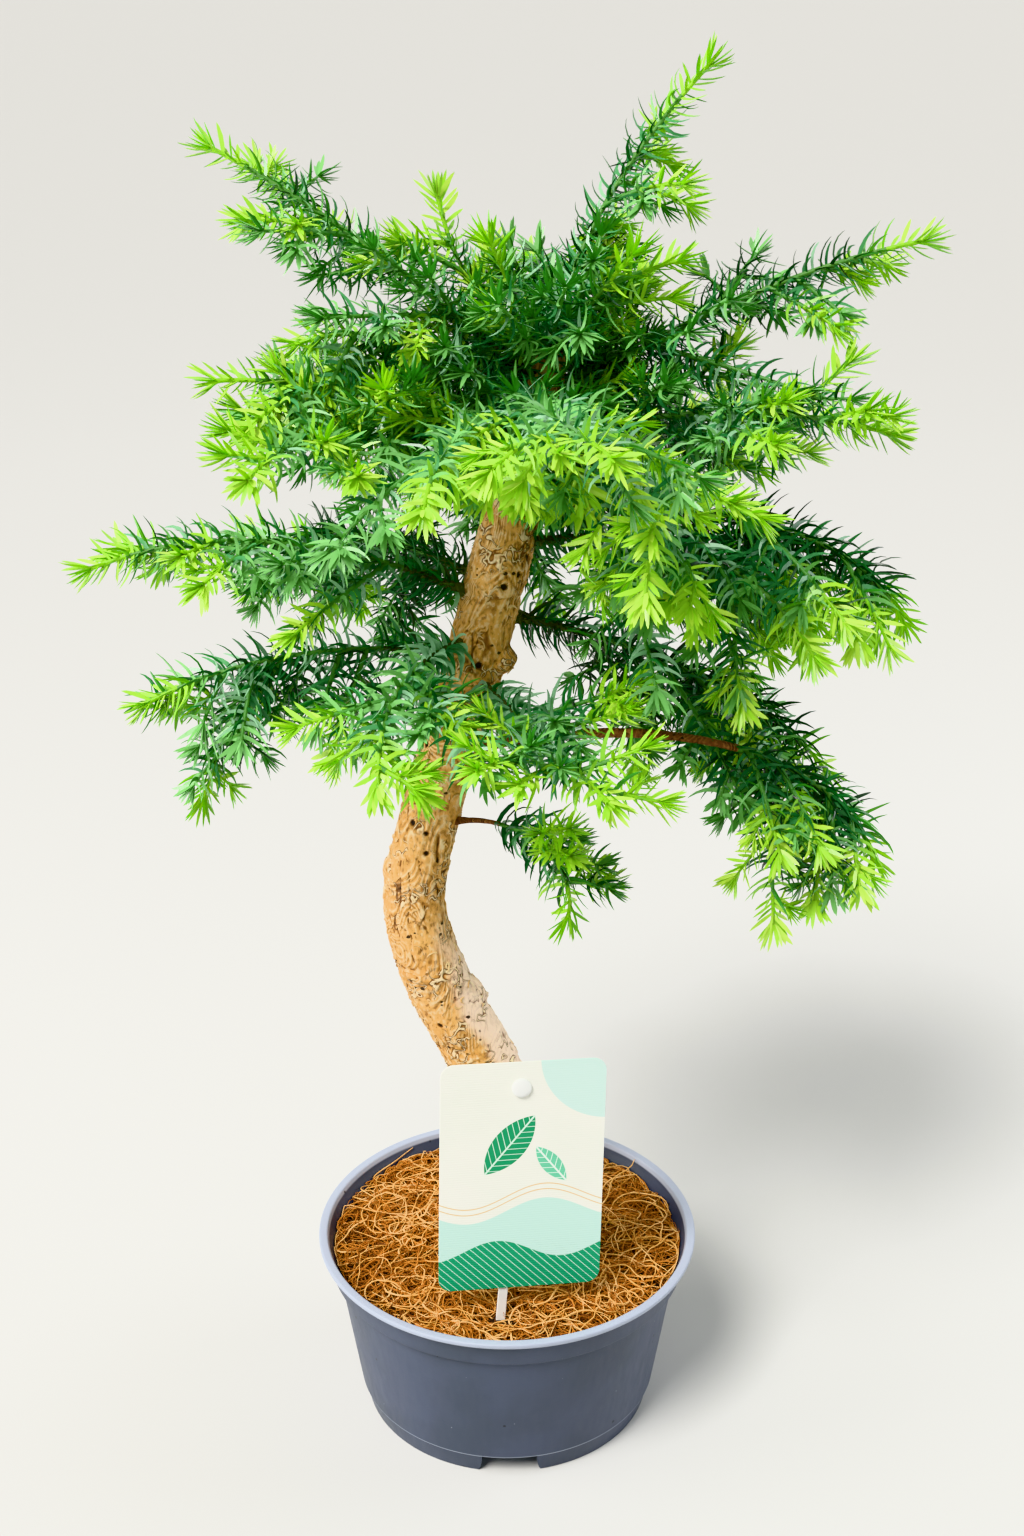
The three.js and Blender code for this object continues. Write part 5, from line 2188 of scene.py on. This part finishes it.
@dataclass
class Coir:
    """The root ball: a dark bed under a tangle of coir fibres; the bed's darkness is partly the soil's own
    and partly painted shade between the fibres.
    """

    pot: Pot
    trunk: Trunk
    hollow: Pair
    wall_height: float = 86.6
    seat_height: float = 88.6
    seat_radius: float = 46.0
    hollow_depth: float = 5.0
    hollow_radius: float = 15.0
    bed_drop: float = 4.0
    bed_gap: float = 0.4
    bed_inset: float = 8.0
    bed_under: float = 16.0
    rings: int = 40
    sides: int = 132
    bed_depth: float = 1.4
    bed_curve: int = 3
    fill_curve: float = 1.5
    fibre_points: int = 14
    fibre_sides: int = 3
    fibre_curl: float = 0.26
    fibre_wobble: float = 0.3
    fibre_taper: float = 0.5
    wave_heights: Pair = (0.5, 1.5)
    wave_counts: Pair = (0.8, 2.2)
    tail_drop: float = 2.5
    loose_share: float = 0.06
    loose_lift: Pair = (3.0, 7.0)
    trunk_share: float = 0.97
    wall_gap: float = 0.9
    draw: Draw = seeded(31)
    # The bed is near black: partly the soil's own brown, partly painted shade between the fibres; its relief
    # colours are painted highlight and shade.
    bed_finish: BarkFinish = BarkFinish(
        "coir_bed", "2c1608", "231006", "3c200d", "140903", "0a0502", "2c1608"
    )
    # Deeper layers darker, the top layer palest: the coir's own browns, with painted shade deeper in the
    # tangle and painted light on the top layer.
    layers: tuple[FibreLayer, ...] = (
        FibreLayer("coir_brown", "8a4f20", "6b3b14", 800, (-4.4, -1.0)),
        FibreLayer("coir_golden", "cf8c42", "b5712d", 760, (-2.4, 1.0)),
        FibreLayer("coir_straw", "f6c888", "e2a95c", 430, (-0.6, 2.4), (0.28, 0.54)),
        FibreLayer("coir_fine", "c07a36", "a05f25", 1300, (-2.6, 1.6), (0.14, 0.24), (10.0, 36.0)),
    )

    def build(self) -> None:
        """Makes the bed and the fibres."""
        bed = relief_growth().grow(
            "coir_bed", self._bed(), Depth=self.bed_depth * MM, Fineness=1.3, Ridges=1.0, Pits=1.0,
            Material=self.bed_finish.make(),
        )
        settle(bed, ["soil"])
        for layer in self.layers:
            mesh = line_mesh(layer.name, [self._fibre(layer) for _ in range(layer.count)])
            skin = layer.finish().make()
            settle(tube_growth().grow(layer.name, mesh, Sides=self.fibre_sides, Material=skin))

    def _level(self, flat: Array) -> Array:
        """The height of the fill at places in plan.

        Args:
            flat: The places.

        Returns:
            The heights.
        """
        radius = np.linalg.norm(flat, axis=-1)
        rim = self.pot.inner_radius(self.wall_height)
        share = np.clip((radius - self.seat_radius) / (rim - self.seat_radius), 0.0, 1.0)
        fill = self.seat_height + (self.wall_height - self.seat_height) * share ** self.fill_curve
        away = np.linalg.norm(flat - np.array(self.hollow), axis=-1)
        return fill - self.hollow_depth * np.exp(-((away / self.hollow_radius) ** 2))

    def _bed(self) -> Mesh:
        """The fill's top as a shallow dome, closed underneath."""
        rim = self.pot.inner_radius(self.wall_height - self.bed_drop) - self.bed_gap
        radius = np.linspace(rim, 1.0, self.rings)
        top = self.seat_height - self.bed_drop
        height = top + (self.wall_height - self.seat_height) * (radius / rim) ** self.bed_curve
        bottom = self.wall_height - self.bed_under
        dome = zip(radius.tolist(), height.tolist())
        section = [(0.0, bottom), (rim - self.bed_inset, bottom), *dome, (0.0, top)]
        return turned("coir_bed", section, self.sides)

    def _fibre(self, layer: FibreLayer) -> tuple[Array, Array]:
        """One fibre: a curling line that lies in its layer, outside the trunk and inside the pot.

        Args:
            layer: The fibre's layer.

        Returns:
            The fibre's points and radii.
        """
        count = self.fibre_points
        length = self.draw.uniform(*layer.lengths)
        curl = self.draw.normal(0.0, self.fibre_curl)
        heading = self.draw.uniform(0.0, FULL_TURN)
        bends = heading + np.cumsum(curl + self.draw.normal(0.0, self.fibre_wobble, count))
        reach = self.pot.inner_radius(self.wall_height) * math.sqrt(self.draw.random())
        turn = self.draw.uniform(0.0, FULL_TURN)
        steps = np.stack((np.cos(bends), np.sin(bends)), axis=-1) * (length / count)
        flat = np.array((reach * math.cos(turn), reach * math.sin(turn)))
        flat = flat + np.cumsum(steps, axis=0) - steps.sum(axis=0) / 2.0
        share = np.linspace(0.0, 1.0, count)
        ends = np.abs(2.0 * share - 1.0)
        wave = self.draw.uniform(*self.wave_heights)
        wave = wave * np.sin(FULL_TURN * (share * self.draw.uniform(*self.wave_counts) + self.draw.random()))
        tails = -self.draw.uniform(0.0, self.tail_drop) * ends ** 3
        if self.draw.random() < self.loose_share:
            tails = tails + self.draw.uniform(*self.loose_lift) * share ** 2
        lift = self.draw.uniform(*layer.lift) + wave + tails
        middle = self.trunk.middle(self.seat_height)
        room = self.trunk.radius(self.seat_height) * self.trunk_share
        away = flat - middle
        push = room / np.maximum(np.linalg.norm(away, axis=1), TINY)
        flat = middle + away * np.maximum(1.0, push)[:, None]
        height = self._level(flat) + lift
        rim = np.array([self.pot.inner_radius(z) for z in height]) - self.wall_gap
        flat = flat * np.minimum(1.0, rim / np.maximum(np.linalg.norm(flat, axis=1), TINY))[:, None]
        thick = self.draw.uniform(*layer.thick) * (1.0 - self.fibre_taper * ends ** 2)
        return np.column_stack((flat, height)), thick


PRINT_EDGE = 0.15


def disc(across: Value, up: Value, radius: float) -> Value:
    """A printed disc's mask, from distances to its middle."""
    away = across.maker.math("SQRT", across * across + up * up)
    return away.ease(radius + PRINT_EDGE, radius - PRINT_EDGE)


@dataclass(frozen=True)
class Hill:
    """A printed hill: everything under a wavy line."""

    level: float
    swell: float
    pace: float
    start: float

    def mask(self, u: Value, v: Value, raised: float = 0.0) -> Value:
        """The hill's mask, from millimetres across and up the card, with its line raised if asked."""
        wave = u.maker.math("SINE", u * self.pace + self.start)
        return (wave * self.swell + (self.level + raised) - v).ease(-PRINT_EDGE, PRINT_EDGE)


@dataclass(frozen=True)
class Leaf:
    """A printed leaf, pointed at both ends, with paler ribs."""

    middle: Pair
    tilt: float
    half_length: float
    half_width: float
    blade: str
    ribs: str

    def masks(self, u: Value, v: Value) -> tuple[Value, Value]:
        """Draws the leaf.

        Args:
            u: Millimetres across the card, from its middle.
            v: Millimetres up the card, from its middle.

        Returns:
            The masks of the blade and of its ribs.
        """
        sine, cosine = math.sin(math.radians(self.tilt)), math.cos(math.radians(self.tilt))
        du, dv = u - self.middle[0], v - self.middle[1]
        along = du * cosine + dv * sine
        across = abs(dv * cosine - du * sine)
        radius = (self.half_length ** 2 + self.half_width ** 2) / (2.0 * self.half_width)
        blade = disc(along, across + (radius - self.half_width), radius)
        veins = u.maker.math("SINE", (along - across * 0.8) * 1.75).ease(0.9, 0.97)
        return blade, blade * u.maker.math("MAXIMUM", across.ease(0.5, 0.3), veins)


@dataclass(frozen=True)
class CardFinish:
    """A ribbed white card with a plain print of hills and two leaves."""

    height: float
    sheet: str = "f3f3ea"
    patch: str = "eceee4"
    moon: str = "cfeae2"
    moon_middle: Pair = (41.0, 62.0)
    moon_radius: float = 33.0
    far: str = "c3e6dc"
    far_hill: Hill = Hill(-18.0, 6.0, 0.085, 0.6)
    near: str = "17996a"
    near_hill: Hill = Hill(-39.0, 5.0, 0.1, 2.7)
    rows: str = "bfe6d6"
    row_pace: float = 1.6
    line: str = "e3bd77"
    line_rises: Pair = (4.5, 7.5)
    line_width: float = 0.45
    leaves: tuple[Leaf, ...] = (
        Leaf((-6.0, 17.0), 52.0, 19.0, 8.2, "12925f", "d5efe0"),
        Leaf((14.0, 6.0), 128.0, 12.0, 4.6, "6cc5a0", "e9f6ee"),
    )
    rib_pace: float = 5.2

    def make(self) -> Material:
        """Builds the material on the card's own flat map."""
        made = MaterialTree("card_print")
        flat = made.read("ShaderNodeUVMap", "UV", {"uv_map": "card"})
        split = made.node("ShaderNodeSeparateXYZ", Vector=flat)
        u, v = ((made.value(split, axis) - 0.5) * self.height for axis in ("X", "Y"))
        sheet = made.mottled(made.place(), 30.0, self.sheet, self.patch)
        moon = disc(u - self.moon_middle[0], v - self.moon_middle[1], self.moon_radius)
        sheet = made.paint(sheet, moon, self.moon)
        sheet = made.paint(sheet, self.far_hill.mask(u, v), self.far)
        near = self.near_hill.mask(u, v)
        rows = made.math("SINE", (u + v) * self.row_pace).ease(0.86, 0.96)
        sheet = made.paint(sheet, near, self.near)
        sheet = made.paint(sheet, near * rows, self.rows)
        for rise in self.line_rises:
            upper = self.far_hill.mask(u, v, rise + self.line_width)
            sheet = made.paint(sheet, upper - self.far_hill.mask(u, v, rise), self.line)
        for leaf in self.leaves:
            blade, ribs = leaf.masks(u, v)
            sheet = made.paint(made.paint(sheet, blade, leaf.blade), ribs, leaf.ribs)
        made.bump(made.math("SINE", v * self.rib_pace) + made.grained(flat, 240.0), 0.05, 0.5)
        return made.dress(Base_Color=sheet, Roughness=0.42)


@dataclass
class Label:
    """The plant label: a printed card on a stick, held by a stud."""

    center: tuple[float, float, float] = (7.0, -55.0, 162.0)
    yaw: float = 8.7
    lean: float = -4.3
    roll: float = 1.7
    width: float = 78.0
    height: float = 120.0
    thickness: float = 0.7
    corner: float = 6.5
    edge: float = 0.18
    stud: Pair = (-1.0, 47.0)
    stud_radius: float = 4.65
    stud_depth: float = 2.4
    stud_wall: float = 0.5
    stud_flat: float = 0.3
    stud_steps: int = 9
    stud_sides: int = 48
    stick_width: float = 4.5
    stick_thickness: float = 1.6
    stick_edge: float = 0.35
    stick_point: float = 8.0
    stick_tip: float = 0.35
    stick_end: float = 0.8
    stick_top: float = 53.0
    stick_foot: Pair = (-8.5, -77.5)
    stick_buried: float = 12.0
    gap: float = 0.3
    sharp: float = 38.0
    plastic: SkinFinish = SkinFinish("label_plastic", "f1f2ef", "e6e8e6", 60.0, 0.32, 1500.0, 0.05, 0.4)

    @property
    def stick_back(self) -> float:
        """How far behind the card's middle the stick's middle lies."""
        return self.thickness / 2 + self.gap + self.stick_thickness / 2

    def place(self) -> Matrix:
        """The label's own frame in the plant's, turned and moved, in metres."""
        angles = ((self.yaw, "Z"), (self.lean, "X"), (self.roll, "Y"))
        yaw, lean, roll = (Matrix.Rotation(math.radians(angle), 4, axis) for angle, axis in angles)
        return Matrix.Translation(Vector(self.center) * MM) @ (yaw @ lean @ roll)

    def foot(self) -> Pair:
        """Where the stick goes into the fill, in plan."""
        spot = self.place() @ (Vector((self.stick_foot[0], self.stick_back, self.stick_foot[1])) * MM)
        return spot.x / MM, spot.y / MM

    def build(self) -> None:
        """Makes the card, the stick and the stud."""
        plastic = self.plastic.make()
        self._settle(self._card(), CardFinish(self.height).make(), "label_card")
        self._settle(self._stick(), plastic, "label_stick")
        self._settle(self._stud(), plastic, "label_pin")

    def _settle(self, mesh: Mesh, skin: Material, node: str) -> None:
        """Dresses one of the label's pieces and sets it in its place.

        Args:
            mesh: The piece's mesh, in the label's own frame.
            skin: Its material.
            node: The solid that it stands for.
        """
        made = bmesh.new()
        made.from_mesh(mesh)
        bmesh.ops.recalc_face_normals(made, faces=made.faces)
        made.to_mesh(mesh)
        made.free()
        mesh.materials.append(skin)
        mesh.transform(self.place())
        mesh.set_sharp_from_angle(angle=math.radians(self.sharp))
        settle(new_object(mesh.name, mesh), [node])

    def _outline(self, inset: float, steps: int = 10) -> list[Pair]:
        """The card's outline with round corners.

        Args:
            inset: How far it is pulled in.
            steps: How many steps a corner has.

        Returns:
            The outline's points, across and up the card.
        """
        made = []
        for right, up, turn in ((1, 1, 0.0), (-1, 1, 90.0), (-1, -1, 180.0), (1, -1, 270.0)):
            x = right * (self.width / 2 - self.corner)
            z = up * (self.height / 2 - self.corner)
            for i in range(steps + 1):
                angle = math.radians(turn + 90.0 * i / steps)
                reach = self.corner - inset
                made.append((x + reach * math.cos(angle), z + reach * math.sin(angle)))
        return made

    def _card(self) -> Mesh:
        """The card with softened edges and its own flat map for the print."""
        half, soft = self.thickness / 2, self.edge
        layers = ((soft, half), (0.0, half - soft), (0.0, soft - half), (soft, -half))
        rings = [[(x, y, z) for x, z in self._outline(inset)] for inset, y in layers]
        points = np.array([p for ring in rings for p in ring])
        mesh = mesh_from("card_board", points, ring_faces(len(rings), len(rings[0]), True))
        layer = mesh.uv_layers.new(name="card")
        index = np.zeros(len(mesh.loops), np.int32)
        mesh.loops.foreach_get("vertex_index", index)
        flat = points[index][:, (0, 2)] / self.height + 0.5
        layer.data.foreach_set("uv", flat.astype(np.float32).ravel())
        return mesh

    def _stick(self) -> Mesh:
        """The stick behind the card, with rounded edges and a pointed foot."""
        tilt = math.atan2(self.stud[0] - self.stick_foot[0], self.stud[1] - self.stick_foot[1])
        top = (self.stick_top - self.stud[1]) / math.cos(tilt)
        low = (self.stick_foot[1] - self.stick_buried - self.stud[1]) / math.cos(tilt)
        half_width, half_depth, soft = self.stick_width / 2, self.stick_thickness / 2, self.stick_edge
        point, end = (low, self.stick_tip), (top, self.stick_end)
        stations = (point, (low + self.stick_point, 1.0), (top - soft, 1.0), end)
        side = ((1.0, 1.0 - soft), (1.0 - soft / 3, 1.0), (soft / 3 - 1.0, 1.0), (-1.0, 1.0 - soft))
        shape = side + tuple((a, -b) for a, b in side[::-1])
        points = [(half_width * a * share, half_depth * b, z) for z, share in stations for a, b in shape]
        mesh = mesh_from("card_stick", np.array(points), ring_faces(len(stations), len(shape), True))
        move = Matrix.Translation(Vector((self.stud[0], self.stick_back, self.stud[1])) * MM)
        mesh.transform(move @ Matrix.Rotation(tilt, 4, "Y"))
        return mesh

    def _stud(self) -> Mesh:
        """The stud's domed head on the front of the card."""
        front = self.thickness / 2
        wall, flat = self.stud_wall, self.stud_flat
        dome = [(0.0, front), (self.stud_radius, front), (self.stud_radius, front + wall * self.stud_depth)]
        for i in range(1, self.stud_steps):
            angle = math.radians(90.0 * i / self.stud_steps)
            reach = self.stud_radius * (flat + (1.0 - flat) * math.cos(angle))
            dome.append((reach, front + self.stud_depth * (wall + (1.0 - wall) * math.sin(angle))))
        dome.append((0.0, front + self.stud_depth))
        mesh = turned("card_stud", dome, self.stud_sides)
        mesh.transform(Matrix.Rotation(math.radians(90.0), 4, "X"))
        mesh.transform(Matrix.Translation(Vector((self.stud[0], 0.0, self.stud[1])) * MM))
        return mesh


@dataclass
class Studio:
    """The pale floor, the soft lights and the camera."""

    eye: tuple[float, float, float] = (2.5, -898.4, 740.6)
    pitch: float = 66.38
    lens: float = 50.0
    sensor: float = 36.0
    view_end: float = 200.0
    floor_size: float = 60.0
    floor_paint: str = "cfcfcc"
    aim: tuple[float, float, float] = (0.0, 0.0, 0.35)
    sun_away: float = 2.0
    sun_tone: tuple[float, float, float] = (1.0, 0.975, 0.94)
    surround: Colour = (0.96, 0.96, 0.95, 1.0)
    surround_light: float = 0.3
    surround_seen: float = 0.84

    def build(self) -> None:
        """Sets up the camera, floor and lights."""
        self._camera()
        self._floor()
        self._sun("key", 52.0, -126.0, 3.7, 24.0)
        self._box("left_box", (-1.35, -0.15, 0.75), 0.9, 15.0, (1.0, 0.98, 0.95))
        self._box("right_box", (1.35, 0.25, 0.8), 0.9, 11.0, (0.93, 0.97, 1.0))
        self._sun("fill", 48.0, 70.0, 0.55, 80.0)
        self._world()
        bpy.context.scene.view_settings.view_transform = "Khronos PBR Neutral"

    def _camera(self) -> None:
        """The camera at the photograph's angle."""
        data = bpy.data.cameras.new("camera")
        data.lens = self.lens
        data.sensor_width = self.sensor
        data.clip_end = self.view_end
        camera = bpy.data.objects.new("camera", data)
        camera.location = Vector(self.eye) * MM
        camera.rotation_euler = (math.radians(self.pitch), 0.0, 0.0)
        bpy.context.scene.collection.objects.link(camera)
        bpy.context.scene.camera = camera

    def _floor(self) -> None:
        """A plain pale floor that reaches past the view."""
        made = bmesh.new()
        bmesh.ops.create_grid(made, x_segments=1, y_segments=1, size=self.floor_size / 2)
        mesh = kept_mesh("floor", made)
        paint = MaterialTree("floor_paint")
        mesh.materials.append(paint.dress(Base_Color=colour(self.floor_paint), Roughness=0.75))
        new_object("floor", mesh)

    @staticmethod
    def _light(data: bpy.types.Light, place: Vector, aim: Vector) -> None:
        """Stands a light at a place, in metres, and turns it along its aim."""
        light = bpy.data.objects.new(data.name, data)
        light.location = place
        light.rotation_euler = aim.to_track_quat("-Z", "Y").to_euler()
        bpy.context.scene.collection.objects.link(light)

    def _sun(self, name: str, elevation: float, azimuth: float, strength: float, softness: float) -> None:
        """A broad soft light from one side, the same over the whole floor.

        Args:
            name: The light's name.
            elevation: How high it stands.
            azimuth: From which side it comes.
            strength: How bright it is.
            softness: How wide it looks from the floor.
        """
        data = bpy.data.lights.new(name, "SUN")
        data.energy = strength
        data.angle = math.radians(softness)
        data.color = self.sun_tone
        turn, rise = math.radians(azimuth), math.radians(elevation)
        toward = Vector((math.cos(rise) * math.cos(turn), math.cos(rise) * math.sin(turn), math.sin(rise)))
        self._light(data, toward * self.sun_away, -toward)

    def _box(
        self, name: str, place: Sequence[float], size: float, power: float, tone: Sequence[float],
    ) -> None:
        """A square soft light that faces the crown.

        Args:
            name: The light's name.
            place: Where it stands, in metres.
            size: Its side, in metres.
            power: How bright it is.
            tone: Its colour.
        """
        data = bpy.data.lights.new(name, "AREA")
        data.size = size
        data.energy = power
        data.color = tone
        self._light(data, Vector(place), Vector(self.aim) - Vector(place))

    def _world(self) -> None:
        """A dim even surround, brighter where it is seen behind the floor."""
        world = bpy.data.worlds.new("surround")
        world.use_nodes = True
        made = TreeMaker(world.node_tree)
        background = world.node_tree.nodes["Background"]
        seen = made.read("ShaderNodeLightPath", "Is Camera Ray")
        light = made.read(
            "ShaderNodeMapRange", "Result", Value=seen, To_Min=self.surround_light, To_Max=self.surround_seen
        )
        made.feed(background.inputs["Color"], self.surround)
        made.feed(background.inputs["Strength"], light)
        bpy.context.scene.world = world


def main() -> None:
    """Loads the frame and builds every piece around it."""
    logging.basicConfig(level=logging.INFO, format="%(name)s %(message)s")
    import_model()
    Studio().build()
    trunk = Trunk()
    trunk.build()
    Crown(trunk).build()
    pot = Pot()
    pot.build()
    label = Label()
    label.build()
    Coir(pot, trunk, label.foot()).build()
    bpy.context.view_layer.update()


if __name__ == "__main__":
    main()
